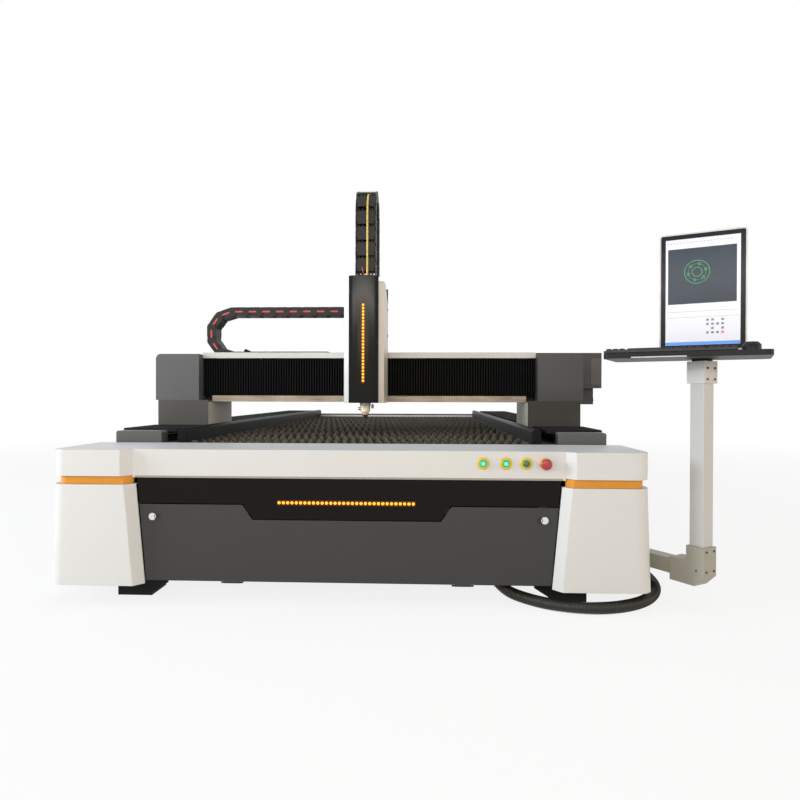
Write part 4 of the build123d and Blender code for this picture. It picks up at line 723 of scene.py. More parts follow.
# %% The hose's middle line
# In millimetres, with Y from the front of the machine
HOSE_POINTS = [
    (540, 205, 340), (540, 205, 230), (556, 195, 110), (620, 155, 36), (700, 90, 23),
    (800, 15, 23), (925, -14, 23), (1060, 18, 23), (1180, 110, 23), (1264, 270, 23),
    (1282, 480, 23), (1262, 690, 30), (1200, 870, 56), (1080, 1010, 100), (973, 1010, 100),
]
HOSE_RADIUS = 0.023


def smooth_line(points, resolution=24):
    """Returns closely spaced points on the smooth curve that the given points control."""
    curve = bpy.data.curves.new("line", "CURVE")
    curve.dimensions = "3D"
    curve.resolution_u = resolution
    spline = curve.splines.new("NURBS")
    spline.points.add(len(points) - 1)
    for control, point in zip(spline.points, points):
        control.co = (*point, 1.0)
    spline.order_u = 3
    spline.use_endpoint_u = True
    return [vertex.co.copy() for vertex in made_plain(new_object("line", curve)).vertices]


hose_line = smooth_line([(x / 1000, FRONT + y / 1000, z / 1000) for x, y, z in HOSE_POINTS])


# %% A tube whose radius changes along its line
def even_steps(line, step):
    """Returns points at even steps along a line."""
    result = [line[0].copy()]
    carried = 0.0
    for start, end in zip(line, line[1:]):
        length = (end - start).length
        place = step - carried
        while place <= length:
            result.append(start.lerp(end, place / length))
            place += step
        carried = length - (place - step)
    return result


def tube_along(line, radii, sides):
    """Returns a closed, smooth tube along a line, with one radius for each point."""
    across = (line[1] - line[0]).orthogonal()
    rings = []
    for n, (point, radius) in enumerate(zip(line, radii)):
        along = (line[min(n + 1, len(line) - 1)] - line[max(n - 1, 0)]).normalized()
        across = (across - along * across.dot(along)).normalized()
        other = along.cross(across)
        rings.append([point + x * across + y * other for x, y, _ in circle(radius, 0.0, sides)])
    mesh = lofted(rings)
    mesh.shade_smooth()
    return mesh


RIB_PITCH = 0.0085
RIB_DEPTHS = (0.0, 0.0006, 0.0034, 0.0028)
hose_rings = even_steps(hose_line, RIB_PITCH / len(RIB_DEPTHS))
rib_radii = [HOSE_RADIUS - RIB_DEPTHS[n % len(RIB_DEPTHS)] for n in range(len(hose_rings))]
hose = add_piece("ribbed_hose", tube_along(hose_rings, rib_radii, sides=18), hose_plastic, "bed")
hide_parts("cable_hose")
print("hose rings:", len(hose_rings), "faces:", len(hose.data.polygons))

# %% [markdown]
# ## Cable chains
#
# Each chain is a row of links that folds back on itself. A link has two side plates, made of an
# outer half and an inner half that overlaps the next link, and flat bars across. The chain is
# split at its bend: one half stays with its fixed end and the other moves with its moving end,
# and at the bend both halves move half as far, as in a real chain.

# %% One link and its dash
LINK_PITCH = 0.077
LINK_HEIGHT = 0.050
LINK_WIDTH = 0.100
PLATE = 0.004
PLATE_GAP = 0.0005
DASH_RISE = 0.0004


def side_plate(start, end, low, high):
    """Returns one half of a side plate: round at its outer end, square at its inner one."""
    side = 1 if end > -start else -1
    inner, radius = (start if side > 0 else end), LINK_HEIGHT / 2
    outer = max(-start, end) - radius
    outline = [(inner, -radius)]
    for step in range(7):
        angle = math.radians(30 * step - 90)
        outline.append((side * (outer + radius * math.cos(angle)), radius * math.sin(angle)))
    return extruded([*outline, (inner, radius)], low, high, TO_FRONT)


def link_mesh():
    """Returns one chain link along X, with its bars and the clips on them."""
    reach = LINK_PITCH / 2 + LINK_HEIGHT / 2
    half = LINK_WIDTH / 2
    inside = half - 2 * PLATE - PLATE_GAP
    parts = []
    for side in (-1, 1):
        parts.append(side_plate(-0.012, reach, *sorted((side * half, side * (half - PLATE)))))
        parts.append(side_plate(-reach, 0.016, *sorted((side * (inside + PLATE), side * inside))))
    for low in (0.001 - LINK_HEIGHT / 2, LINK_HEIGHT / 2 - 0.006):
        parts.append(slab((-0.031, -inside, low), (0.031, inside, low + 0.005)))
    for y in (-0.03, 0.03):
        for low in (0.006 - LINK_HEIGHT / 2, LINK_HEIGHT / 2 - 0.0065):
            parts.append(slab((-0.012, y - 0.002, low), (0.012, y + 0.002, low + 0.0004)))
    return joined(parts)


def dash_mesh():
    """Returns the two raised dashes on a link's sides."""
    outline = round_outline(0.042, 0.009, 0.003, steps=3)
    out = LINK_WIDTH / 2 + DASH_RISE
    return joined([extruded(outline, low, low + DASH_RISE, TO_FRONT) for low in (out - DASH_RISE, -out)])


link_model = hidden_model("link_model", link_mesh())
dash_model = hidden_model("dash_model", dash_mesh())
print("link faces:", len(link_model.data.polygons))


# %% Where the links go
def bend_radius(links):
    """Returns the radius of the circle through the pins of a half turn."""
    return LINK_PITCH / 2 / math.sin(math.pi / 2 / links)


def chain_places(first, bend, second):
    """Returns the places of a chain's links: the moving half and the fixed half."""
    radius = bend_radius(bend)
    apothem = radius * math.cos(math.pi / 2 / bend)
    moving = [Matrix.Translation(((n + 0.5) * LINK_PITCH, 0, radius)) for n in range(first)]
    fixed = [
        Matrix.Translation(((n + 0.5) * LINK_PITCH, 0, -radius)) @ Matrix.Rotation(math.pi, 4, "Y")
        for n in range(second)
    ]
    for number in range(bend):
        turn = math.pi * (number + 0.5) / bend
        spot = (-apothem * math.sin(turn), 0, apothem * math.cos(turn))
        place = Matrix.Translation(spot) @ Matrix.Rotation(-turn, 4, "Y")
        (moving if number < bend / 2 else fixed).append(place)
    return moving, fixed


def stretch(piece, first, second, start, end):
    """Stretches a piece between two bodies, with an even share for each point along the way."""
    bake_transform(piece, first, second, start, end)
    start, along = Vector(start), Vector(end) - Vector(start)
    shares = [(vertex.co - start).dot(along) / along.length_squared for vertex in piece.data.vertices]
    weights = piece.data.attributes["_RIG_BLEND"].data
    weights.foreach_set("value", [min(1.0, max(0.0, share)) for share in shares])


def build_chain(name, halves, place, bodies, tip, ends, dashes=True):
    """Makes a chain's two halves, each blended between the fixed and the moving body."""
    for part, places, end in zip(("moving", "fixed"), halves, ends):
        spots = [place @ spot for spot in places]
        far = 2 * Vector(tip) - Vector(end)
        links = set_places(f"{name}_{part}_links", link_model, spots, link_plastic, smooth=40.0)
        pieces = [links]
        if dashes:
            pieces.append(set_places(f"{name}_{part}_dashes", dash_model, spots, dash_red))
        for piece in pieces:
            stretch(piece, *bodies, *((far, end) if part == "moving" else (end, far)))
        if part == "moving":
            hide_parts(name)
    print(name, "links:", sum(len(half) for half in halves))


# How far a chain's tip lies past the middle of its bend
TIP_REACH = 0.150
# Heights of the lower runs' middle lines, and of the top of the head's chain
X_CHAIN_LOW, Y_CHAIN_LOW, Z_CHAIN_TOP = 1.0323, 0.540, 1.842
X_BEND = Vector((-0.785, LEG_REAR - 0.064, X_CHAIN_LOW + bend_radius(5)))
build_chain(
    "x_chain", chain_places(9, 5, 7), Matrix.Translation(X_BEND), ("gantry", "carriage"),
    (X_BEND.x - TIP_REACH, 0, 0), ((-0.092, 0, 0), (-0.246, 0, 0)),
)
Z_BEND = Vector((CARRIAGE_X + 0.005, HEAD_AXIS_Y + 0.070, Z_CHAIN_TOP - bend_radius(4) - LINK_HEIGHT / 2))
Z_END = (0, 0, Z_BEND.z - 4 * LINK_PITCH)
z_turn = Matrix(((0, 1, 0, 0), (0, 0, -1, 0), (-1, 0, 0, 0), (0, 0, 0, 1)))
build_chain(
    "z_chain", chain_places(4, 4, 4), Matrix.Translation(Z_BEND) @ z_turn, ("carriage", "z_axis"),
    (0, 0, Z_CHAIN_TOP), (Z_END, Z_END), dashes=False,
)
Y_END = LEG_REAR + 0.085
Y_BEND = Vector((1.220, Y_END + 18 * LINK_PITCH, Y_CHAIN_LOW + bend_radius(5)))
y_turn = Matrix.Rotation(math.radians(-90), 4, "Z")
build_chain(
    "y_chain", chain_places(18, 5, 3), Matrix.Translation(Y_BEND) @ y_turn, ("bed", "gantry"),
    (0, Y_BEND.y + TIP_REACH, 0), ((0, Y_END, 0), (0, Y_BEND.y - 3 * LINK_PITCH, 0)),
)

# %% [markdown]
# ## Pleated bellows
#
# Coated cloth, folded like an accordion, keeps dust off the rails. A pleat is a flat-topped
# wave, and the cloth is a thin closed sheet. Each bellows is stretched between two bodies, so
# its pleats open and close as the axis moves.


# %% A pleated sheet
def pleats(start, end, pitch, valley, peak, thickness=0.0012):
    """Returns the outline of a pleated sheet between two ends, as (along, height) pairs."""
    count = round((end - start) / pitch)
    step = (end - start) / count
    top = []
    for fold in range(count):
        foot = start + fold * step
        top += [(foot, valley), (foot + 0.32 * step, peak), (foot + 0.62 * step, peak)]
    top.append((end, valley))
    inward = thickness if peak > valley else -thickness
    return top + [(along, height - inward) for along, height in reversed(top)]


BEAM_PLEAT = 0.0135
BEAM_END = 0.873
BEAM_LOW, BEAM_HIGH = 0.8103, 1.004
SIDES = ((-1, "left"), (1, "right"))
for side, word in SIDES:
    fixed, moving = side * BEAM_END, CARRIAGE_X + side * (SIDE_COVER_X + 0.0003)
    outline = pleats(*sorted((fixed, moving)), BEAM_PLEAT, BELLOWS_FRONT + 0.022, BELLOWS_FRONT)
    cloth = add_piece(f"{word}_beam_bellows", extruded(outline, BEAM_LOW, BEAM_HIGH), cloth_black)
    stretch(cloth, "gantry", "carriage", (fixed, 0, 0), (moving, 0, 0))
    if side < 0:
        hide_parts("beam_bellows")
    print(cloth.name, "faces:", len(cloth.data.polygons))

# %% Bellows over the bed rails
RAIL_PLEAT = 0.016
RAIL_INSIDE = 0.850
RAIL_VALLEY, RAIL_PEAK = 0.643, 0.658
# Puts an outline's first axis along Y and its second one up
yz_turn = Matrix(((0, 0, 1, 0), (1, 0, 0, 0), (0, 1, 0, 0), (0, 0, 0, 1)))
for side, word in SIDES:
    edges = sorted((side * RAIL_INSIDE, side * BED_HALF))
    for place, fixed, moving in (("front", FRONT + 0.500, LEG_FRONT), ("rear", FRONT + 4.030, LEG_REAR)):
        outline = pleats(*sorted((fixed, moving)), RAIL_PLEAT, RAIL_VALLEY, RAIL_PEAK)
        cloth = add_piece(f"{word}_{place}_rail_bellows", extruded(outline, *edges, yz_turn), cloth_black)
        stretch(cloth, "bed", "gantry", (0, fixed, 0), (0, moving, 0))
        if cloth.name == "left_front_rail_bellows":
            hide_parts("rail_bellows")
print("rail bellows made")

# %% [markdown]
# ## Slats
#
# Sheet metal lies on saw-toothed slats, and the laser burns into them, so they are stained and
# dull. One slat is made with its full row of teeth, and set out over the length of the bed.
# Neighbours start at another share of a tooth, so their teeth don't line up.

# %% One slat, repeated
SLAT_HALF = 0.7647
SLAT_THICKNESS = 0.005
TEETH = 38
TOOTH_DEPTH = 0.026
SLAT_COUNT = 28
SLAT_STEP = 3.470 / (SLAT_COUNT - 1)
SLAT_TIP = 0.604
PHASES = (0.0, 0.5, 0.25, 0.75)


def slat_mesh(phase):
    """Returns one slat whose row of teeth starts at a share of a tooth."""
    step = 2 * SLAT_HALF / TEETH
    crown = []
    for tooth in range(-1, TEETH + 1):
        foot = -SLAT_HALF + (tooth + phase) * step
        crown.append((foot, SLAT_TIP - TOOTH_DEPTH))
        crown += [(foot + share * step, SLAT_TIP) for share in (0.44, 0.56)]
    crown = [(x, z) for x, z in crown if abs(x) < SLAT_HALF - 0.0005]
    low = SLAT_TIP - 0.1
    ends = [[(x, low), (x, z)] for x, z in ((-SLAT_HALF, crown[0][1]), (SLAT_HALF, crown[-1][1]))]
    outline = [*ends[0], *crown, *reversed(ends[1])]
    return extruded(outline, -SLAT_THICKNESS / 2, SLAT_THICKNESS / 2, TO_FRONT)


for number, phase in enumerate(PHASES, start=1):
    slats = set_row(
        f"toothed_slats_{number}", hidden_model(f"slat_model_{number}", slat_mesh(phase)),
        SLAT_COUNT // len(PHASES), (0, FRONT + 0.470 + (number - 1) * SLAT_STEP, 0),
        (0, len(PHASES) * SLAT_STEP, 0), slat_steel, "bed",
    )
    if number == 1:
        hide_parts("slats")
print("slat faces:", len(PHASES) * len(slats.data.polygons))

# %% [markdown]
# ## Faces of the buttons and locks
#
# A lit button is brightest in its middle, so each gets a small bright disc. Each lock's chromed
# face gets a dark groove and the slot of its key.


# %% Discs, grooves and slots
def add_to_face(name, mesh, material, node):
    """Puts a mesh on the middle of a node's front face, with local Z to the front."""
    low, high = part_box(node)
    mesh.transform(Matrix.Translation(((low[0] + high[0]) / 2, low[1], (low[2] + high[2]) / 2)) @ TO_FRONT)
    add_piece(name, mesh, material, node)


for button in ("start_button", "ready_button"):
    disc = turned([(0.0078, 0.0), (0.0060, 0.0008), (0.0020, 0.0011)])
    add_to_face(f"{button}_glow", disc, lens_bright, button)
for lock in ("left_lock", "right_lock"):
    groove = disc_ring(0.0110, 0.0086, 0.0001, 8, 0.0003)
    key_slot = slab((-0.0024, -0.0066, 0.0), (0.0024, 0.0066, 0.0003))
    add_to_face(f"{lock}_key_slot", joined([groove, key_slot]), wire_black, lock)
print("discs and slots made")

# %% [markdown]
# ## Light strips
#
# Two rows of amber lamps decorate the machine: one across the front panel and one up the head.
# Each is a dark amber channel with a row of small domes that glow.

# %% Lamp domes
LAMP_PROFILE = [(0.0062, 0.0), (0.0062, 0.0008), (0.0052, 0.0022), (0.003, 0.0030), (0.0006, 0.0033)]
FRONT_LAMPS, FRONT_LENGTH = 32, 0.536
HEAD_LAMPS, HEAD_LENGTH = 24, 0.378
lamp_mesh = turned(LAMP_PROFILE, sides=12)
lamp_mesh.transform(TO_FRONT)
lamp_model = hidden_model("lamp_model", lamp_mesh)
pitch = FRONT_LENGTH / FRONT_LAMPS
start = ((pitch - FRONT_LENGTH) / 2, FRONT + 0.041, 0.396)
set_row("front_lamps", lamp_model, FRONT_LAMPS, start, (pitch, 0, 0), lamp_amber, "bed", smooth=60.0)
pitch = HEAD_LENGTH / HEAD_LAMPS
start = (CARRIAGE_X, HEAD_FRONT - 0.002, 0.874 + pitch / 2)
set_row("head_lamps", lamp_model, HEAD_LAMPS, start, (0, 0, pitch), lamp_amber, "carriage", smooth=60.0)
paint(strip_amber, "front_light_strip", "head_light_strip")
print("lamps:", FRONT_LAMPS + HEAD_LAMPS)

# %% [markdown]
# ## Keyboard, mouse and monitor
#
# The operator's console stands on a post at the right. The keyboard solid has one bar for each
# row of keys, so a keyboard with single keys takes its place. The picture on the screen is a
# plain drawing program of no particular make, built from thin slabs.

# %% Places on the console
tray_across = Vector((math.cos(TRAY_YAW), -math.sin(TRAY_YAW), 0))
tray_back = Vector((math.sin(TRAY_YAW), math.cos(TRAY_YAW), 0))


def console_matrix(across, back, height):
    """Returns the matrix of a level place on the tray, with local X along the tray."""
    spot = POST + across * tray_across + back * tray_back + Vector((0, 0, height))
    return Matrix.Translation(spot) @ Matrix.Rotation(-TRAY_YAW, 4, "Z")


def screen_matrix(across, height, back):
    """Returns the matrix of a place on the screen: local X across, Y up, Z to the operator."""
    return console_matrix(across, back, height) @ TO_FRONT


def place_piece(name, mesh, place, material, body):
    """Moves a mesh to its place and makes it a piece."""
    mesh.transform(place)
    return add_piece(name, mesh, material, body)


print("tray runs along", [round(v, 3) for v in tray_across])

# %% Keyboard
KEY_PITCH = 0.0235
ROW_PITCH = 0.0252
KEY = 0.0205
PAD_KEY = 0.0195
KEY_HEIGHT = 0.010
keyboard_place = console_matrix(-0.103, -0.122, TRAY_TOP)
key_body = extruded(round_outline(0.450, 0.150, 0.010), 0.0, KEY_HEIGHT)
keyboard = place_piece("keyboard_body", key_body, keyboard_place, key_plastic, "console_tray")
keyboard.modifiers.new("edge", "BEVEL").width = 0.002
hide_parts("keyboard")


def key_cap(width):
    """Returns one key: a block that narrows towards its top."""
    foot = round_outline(width, KEY, 0.002, steps=2)
    crown = round_outline(width - 0.005, 0.0150, 0.002, steps=2, centre=(0.0, 0.0008))
    return lofted([[(x, y, 0.0) for x, y in foot], [(x, y, 0.008) for x, y in crown]])


# Each run of keys is (place of the first, how many, width)
LETTER_ROW = ((-0.2125, 13, KEY), (0.1065, 1, KEY), (0.1395, 4, PAD_KEY))
SPACE_ROW = ((-0.2125, 3, KEY), (-0.083, 1, 0.124), (0.0005, 5, KEY), (0.1395, 4, PAD_KEY))
caps = []
for row, runs in enumerate((LETTER_ROW,) * 4 + (SPACE_ROW,)):
    for first, count, width in runs:
        for number in range(count):
            across = first + 0.004 + number * KEY_PITCH * (0.98 if width == PAD_KEY else 1.0)
            cap = key_cap(width)
            cap.transform(Matrix.Translation((across, 2 * ROW_PITCH - row * ROW_PITCH, KEY_HEIGHT)))
            caps.append(cap)
place_piece("keyboard_keys", joined(caps), keyboard_place, key_plastic, "console_tray")
print("keys:", len(caps))

# %% Mouse wheel, and the monitor's silver rim and navy bezel
MONITOR_FACE = -0.023
MONITOR_MIDDLE = 1.210
wheel = turned([(0.007, -0.003), (0.009, -0.002), (0.009, 0.002), (0.007, 0.003)], sides=20)
wheel_place = console_matrix(0.164, -0.088, TRAY_TOP + 0.0205) @ Matrix.Rotation(math.radians(90), 4, "Y")
place_piece("mouse_wheel", wheel, wheel_place, silver_plastic, "console_tray")


def by_bezel(centre, normal):
    """Picks the second material for the monitor's front faces."""
    in_front = (centre - POST).dot(tray_back) < MONITOR_FACE + 0.0036
    return 1 if in_front and normal.dot(tray_back) < -0.5 else 0


soften("monitor_case", silver_plastic, bezel_navy, pick=by_bezel, bevel=0.001)
rim = framed(round_outline(0.300, 0.450, 0.010), round_outline(0.2895, 0.4395, 0.007), 0.0, 0.0006)
rim_place = screen_matrix(0, MONITOR_MIDDLE, MONITOR_FACE)
place_piece("monitor_rim", rim, rim_place, silver_plastic, "monitor")
tray_strip = slab((-0.227, -0.2006, 0.9535), (-0.039, -0.2, 0.9575))
place_piece("tray_edge_strip", tray_strip, console_matrix(0, 0, 0), silver_plastic, "console_tray")
print("monitor dressed")

# %% The picture on the screen
LEFT, RIGHT = -0.1275, 0.1275
SCREEN_TOP = 1.4125
SCREEN_BOTTOM = 1.0075
VIEW_TOP = SCREEN_TOP - 0.036
VIEW_BOTTOM = VIEW_TOP - 0.212
BUTTON_TOP = VIEW_BOTTOM - 0.068
# Columns of the square buttons in each of four rows
BUTTONS = ((0.032, 0.049, 0.083), (0.032, 0.049, 0.066, 0.083), (0.049, 0.083), (0.032, 0.049, 0.066))


def on_screen(name, material, rectangles):
    """Adds thin slabs on the glass; each is (left, bottom, right, top) in metres."""
    parts = [slab((left, bottom, 0.0), (right, top, 0.00025)) for left, bottom, right, top in rectangles]
    place_piece(name, joined(parts), screen_matrix(0, 0, MONITOR_FACE + 0.0009), material, "monitor")


def screen_button(x, row):
    """Returns the rectangle of a square button."""
    low = BUTTON_TOP - 0.016 * row
    return (x - 0.018, low, x - 0.009, low + 0.0085)


tools = [(LEFT + 0.004 + x, SCREEN_TOP - 0.0165, LEFT + 0.011 + x, SCREEN_TOP - 0.0115)
         for x in (0.0115 * n for n in range(20))]
tools.append((LEFT + 0.004, SCREEN_TOP - 0.0072, LEFT + 0.080, SCREEN_TOP - 0.0055))
lines = [(LEFT + 0.006, VIEW_BOTTOM - low, RIGHT - 0.006, VIEW_BOTTOM - top)
         for low, top in ((0.030, 0.029), (0.052, 0.0512))]
on_screen("screen_view", screen_slate, [(LEFT + 0.008, VIEW_BOTTOM, RIGHT - 0.012, VIEW_TOP)])
on_screen("screen_tools", screen_faint, tools)
squares = [screen_button(x, row) for row, columns in enumerate(BUTTONS) for x in columns]
on_screen("screen_buttons", screen_grey, squares)
on_screen("screen_stop", screen_red, [screen_button(0.083, 3)])
on_screen("screen_lines", screen_grey, lines)
on_screen("screen_task_bar", screen_blue, [(LEFT, SCREEN_BOTTOM, RIGHT, SCREEN_BOTTOM + 0.012)])
print("screen drawn")

# %% A plain flange drawing in the view
HOLE_CIRCLE = 0.031
drawing = []
for radius, width in ((0.044, 0.0012), (0.018, 0.0012), (HOLE_CIRCLE, 0.0005)):
    drawing.append(disc_ring(radius, radius - width, 0.0001, 10, 0.0002))
for number in range(6):
    spot = Matrix.Rotation(math.radians(60 * number + 15), 3, "Z") @ Vector((HOLE_CIRCLE, 0, 0))
    hole = disc_ring(0.005, 0.004, 0.0001, 4, 0.0002)
    hole.transform(Matrix.Translation(spot))
    drawing.append(hole)
sketch_place = screen_matrix(-0.018, VIEW_TOP - 0.092, MONITOR_FACE + 0.0006)
place_piece("screen_sketch", joined(drawing), sketch_place, screen_green, "monitor")
print("sketch parts:", len(drawing))

# %% [markdown]
# ## Screws
#
# Small fasteners are left to this script. One cap screw with a hex socket is made, and set out
# with the tree for turned places, each with its axis along the face it holds.


# %% Screw model
def cap_screw():
    """Returns a cap screw with a head of 4.2 mm radius and a hex socket, along local Z."""
    corners = [Vector(corner) for corner in circle(0.0022, 0.0, 6)]
    socket = [corners[n // 4].lerp(corners[(n // 4 + 1) % 6], n % 4 / 4) for n in range(24)]
    head = ((0.0042, 0.0), (0.0042, 0.0030), (0.0036, 0.0036))
    rings = [circle(radius, height, 24) for radius, height in head]
    rings += [[point + Vector((0, 0, height)) for point in socket] for height in (0.0036, 0.0014)]
    return lofted(rings)


def facing(point, normal):
    """Returns the matrix of a place whose local Z points along a face's normal."""
    return Matrix.Translation(point) @ Vector(normal).to_track_quat("Z", "Y").to_matrix().to_4x4()


def add_screws(name, places, body):
    """Sets the screw model on its places."""
    set_places(name, screw_model, [facing(*place) for place in places], screw_steel, body, smooth=40.0)
    print(name, len(places))


screw_model = hidden_model("screw_model", cap_screw())
print("screw faces:", len(screw_model.data.polygons))

# %% Screws on the head, the motor covers and the arm
ARM_ACROSS = Vector((0.8515, 0.5245, 0))
ARM_SIDE = Vector((0.5245, -0.8515, 0))
HEAD_SIDE = SIDE_COVER_X + 0.0036
MOTOR_COVER_SIDE = 1.101
POST_SIDE = 0.038
add_screws(
    "head_screws",
    [((CARRIAGE_X + side * HEAD_SIDE, LEG_FRONT + 0.020, z), (side, 0, 0))
     for side in (-1, 1) for z in (0.815, 0.925, 1.120, 1.255)],
    "carriage",
)
add_screws(
    "motor_cover_screws",
    [((side * MOTOR_COVER_SIDE, y, z), (side, 0, 0))
     for side in (-1, 1) for y in (LEG_FRONT + 0.03, LEG_REAR - 0.03) for z in (0.806, 0.980)],
    "gantry",
)
arm_spots = [(along, z) for z in (0.876, 0.918, 0.225, 0.150) for along in (-0.022, 0.022)]
add_screws(
    "console_screws",
    [(POST + along * ARM_ACROSS + POST_SIDE * ARM_SIDE + Vector((0, 0, z)), ARM_SIDE)
     for along, z in (*arm_spots, (-0.085, 0.165))],
    "arm",
)

# %% [markdown]
# ## Small metal and plastic pieces
#
# A few plates and fittings show in the photograph and are too fine for the solids: pale plates
# inside the gantry legs, a lid on the cable box, the bracket of the X chain, thin strips along
# edges of the bed, two of which are painted shade, and a fitting beside the nozzle.

# %% Plates and brackets
plates = [
    slab((x - 0.0008, LEG_FRONT + 0.004, 0.652), (x + 0.0008, LEG_REAR - 0.004, 0.777))
    for x in (-0.823, 0.823)
]
add_piece("leg_inner_plates", joined(plates), plate_beige, "gantry")
lid = extruded(round_outline(0.055, 0.150, 0.008, centre=(1.268, 0.950)), 0.0, 0.0012, TO_FRONT)
place_piece("cable_box_lid", lid, Matrix.Translation((0, LEG_REAR, 0)), box_grey, "gantry")
bracket_outline = [(-0.720, 1.0375), (-0.625, 1.0375), (-0.655, 1.046), (-0.700, 1.070), (-0.712, 1.070)]
bracket = extruded(bracket_outline, 0.0, 0.004, TO_FRONT)
place_piece("x_chain_bracket", bracket, Matrix.Translation((0, LEG_REAR - 0.118, 0)), guard_black, "gantry")
for name, half, y, z, material in (
    # The lip line under the cover's band is painted shade.
    ("centre_cover_lip", 0.828, (FRONT + 0.0396, FRONT + 0.0401), (0.4905, 0.4975), painted_shade_lip),
    # A dark strip behind the door's top edge is painted shade in the gap.
    ("door_gap_strip", 0.740, (FRONT + 0.0685, FRONT + 0.0694), (0.373, 0.399), guard_black),
    ("rear_edge_bar", 0.780, (1.950, 1.960), (0.6170, 0.6270), guard_black),
    ("rear_edge_plate", 0.780, (1.952, 1.958), (0.5970, 0.6170), white_paint),
):
    add_piece(name, slab((-half, y[0], z[0]), (half, y[1], z[1])), material, "bed")
fitting = joined([
    turned([(0.007, 0.0), (0.007, 0.010), (0.0055, 0.011), (0.0055, 0.020), (0.0035, 0.021)], sides=16),
    turned([(0.008, 0.010), (0.008, 0.013)], sides=6),
])
fitting_place = Matrix.Translation((CARRIAGE_X + 0.036, HEAD_AXIS_Y, 0.748))
place_piece("gas_fitting", fitting, fitting_place, silver_plastic, "z_axis")
print("plates and fittings made")


# %% Cables over the head
def cable(name, points, radius, material, body=None):
    """Adds a round cable that follows smooth points."""
    line = even_steps(smooth_line(points, 12), 0.008)
    return add_piece(name, tube_along(line, [radius] * len(line), sides=10), material, body)


def chain_cable(name, across, lift, radius, material, low):
    """Runs a cable through the head's chain in two halves, each blended as its half of the chain."""
    x = CARRIAGE_X + across
    rise = bend_radius(4) + 0.3 * lift
    far = (0, 0, 2 * Z_CHAIN_TOP - Z_END[2])
    for word, side in (("front", -1), ("rear", 1)):
        reach = side * (bend_radius(4) + lift)
        run = [(x, Z_BEND.y + reach, z) for z in (low, 1.47, 1.56, 1.64, Z_BEND.z)]
        for turn in (math.radians(30 * step) for step in (1, 2, 3)):
            run.append((x, Z_BEND.y + reach * math.cos(turn), Z_BEND.z + rise * math.sin(turn)))
        piece = cable(f"{name}_{word}", run, radius, material)
        stretch(piece, "carriage", "z_axis", *((far, Z_END) if side < 0 else (Z_END, far)))


chain_cable("fibre_cable", 0.014, 0.029, 0.0046, fibre_yellow, 1.392)
chain_cable("chain_hose_1", -0.030, 0.0, 0.0085, wire_black, 1.375)
chain_cable("chain_hose_2", -0.012, 0.0, 0.0075, wire_black, 1.375)
chain_cable("chain_hose_3", 0.022, 0.0, 0.0070, hose_brown, 1.375)
chain_cable("chain_hose_4", 0.037, 0.0, 0.0070, hose_brown, 1.375)
z_front = Z_BEND.y - bend_radius(4) - LINK_HEIGHT / 2
pink_run = ((-0.002, 0.014, 1.388), (-0.006, -0.002, 1.412), (-0.012, -0.001, 1.436), (-0.014, 0.020, 1.450))
pink_points = [(CARRIAGE_X + x, z_front + y, z) for x, y, z in pink_run]
cable("pink_wire", pink_points, 0.0028, wire_pink, "z_axis")
print("cables made")

# %% [markdown]
# ## Stage, light and camera
#
# The machine stands on a pale floor under soft studio light. The floor and the sky look white to
# the camera and in reflections, but light the machine at a plain level. The camera stands where
# the photographer stood, low and a little right of the middle.


# %% Floor and sky
def seen_directly(tree):
    """Returns 1 for rays of the camera, of reflections and of transmission, and 0 for others."""
    path = add_node(tree, "ShaderNodeLightPath").outputs
    seen = maths(tree, "MAXIMUM", path["Is Camera Ray"], path["Is Glossy Ray"])
    return maths(tree, "MAXIMUM", seen, path["Is Transmission Ray"])


floor_mesh = bpy.data.meshes.new("floor")
floor_mesh.from_pydata([(-60, -40, 0), (60, -40, 0), (60, 80, 0), (-60, 80, 0)], [], [(0, 1, 2, 3)])
floor = new_object("floor", floor_mesh)
floor_paint = bpy.data.materials.new("floor_paint")
floor_paint.use_nodes = True
floor_tree = floor_paint.node_tree
floor_tree.nodes.clear()
matt = add_node(floor_tree, "ShaderNodeBsdfDiffuse", {"Color": (0.86, 0.86, 0.86, 1.0)})
white = add_node(floor_tree, "ShaderNodeEmission")
place = add_node(floor_tree, "ShaderNodeTexCoord").outputs["Object"]
distance = add_node(floor_tree, "ShaderNodeVectorMath", {0: place}, operation="LENGTH").outputs["Value"]
# The floor turns fully white towards the horizon
fade = {"Value": distance, "From Min": 2.2, "From Max": 9.0, "To Min": 0.84, "To Max": 1.0}
away = add_node(floor_tree, "ShaderNodeMapRange", fade).outputs["Result"]
share = maths(floor_tree, "MULTIPLY", seen_directly(floor_tree), away)
mix = {"Fac": share, 1: matt.outputs["BSDF"], 2: white.outputs["Emission"]}
mixed = add_node(floor_tree, "ShaderNodeMixShader", mix).outputs["Shader"]
add_node(floor_tree, "ShaderNodeOutputMaterial", {"Surface": mixed})
floor_mesh.materials.append(floor_paint)

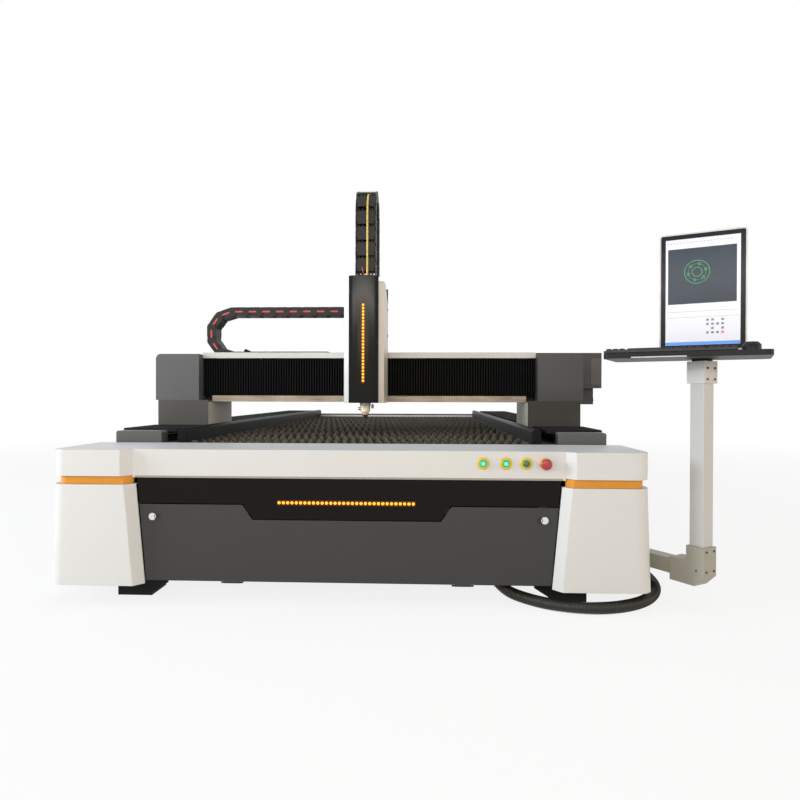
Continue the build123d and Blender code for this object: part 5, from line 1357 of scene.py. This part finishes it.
SKY_LIGHT = 0.34
world = bpy.data.worlds.new("studio")
bpy.context.scene.world = world
world.use_nodes = True
sky_tree = world.node_tree
sky_tree.nodes.clear()
strength = maths(sky_tree, "MULTIPLY_ADD", seen_directly(sky_tree), 1.0 - SKY_LIGHT, SKY_LIGHT)
sky = add_node(sky_tree, "ShaderNodeBackground", {"Color": (1.0, 1.0, 1.0, 1.0), "Strength": strength})
add_node(sky_tree, "ShaderNodeOutputWorld", {"Surface": sky.outputs["Background"]})
print("stage ready")


# %% Lamps
def soft_lamp(name, place, target, size, power, tint=(1.0, 1.0, 1.0)):
    """Adds a large area lamp that points at a target; size is its width and height."""
    light = bpy.data.lights.new(name, "AREA")
    light.shape = "RECTANGLE"
    light.size, light.size_y = size
    light.energy = power
    light.color = tint
    lamp = new_object(name, light)
    lamp.location = place
    lamp.rotation_euler = (Vector(target) - Vector(place)).to_track_quat("-Z", "Y").to_euler()


soft_lamp("key_lamp", (-6.5, -3.4, 2.4), (0, -1.6, 0.5), (3.0, 2.4), 300, (0.82, 0.92, 1.0))
soft_lamp("fill_lamp", (6.5, -3.6, 2.2), (0.2, -1.4, 0.6), (3.0, 2.4), 74, (1.0, 0.70, 0.40))
soft_lamp("top_lamp", (0.0, 0.0, 5.2), (0, 0, 0), (5.0, 6.0), 84)
soft_lamp("high_panel", (-0.50, -6.5, 2.14), (0.0, -1.47, 1.30), (7.0, 0.24), 92, (1.0, 0.94, 0.84))
soft_lamp("low_panel", (-0.50, -6.5, 1.56), (0.0, -1.47, 1.09), (3.0, 0.16), 12, (1.0, 0.72, 0.34))
print("lamps placed")

# %% Camera
view = bpy.data.cameras.new("photo_view")
view.sensor_width = 36.0
view.lens = 28.18
view.clip_end = 200.0
camera = new_object("photo_view", view)
camera.location = (0.309, FRONT - 2.357, 0.811)
camera.rotation_euler = Euler((math.radians(89.61), math.radians(-0.15), math.radians(2.43)), "XYZ")
bpy.context.scene.camera = camera
bpy.context.scene.view_settings.view_transform = "Standard"
print("camera at", [round(v, 3) for v in camera.location])
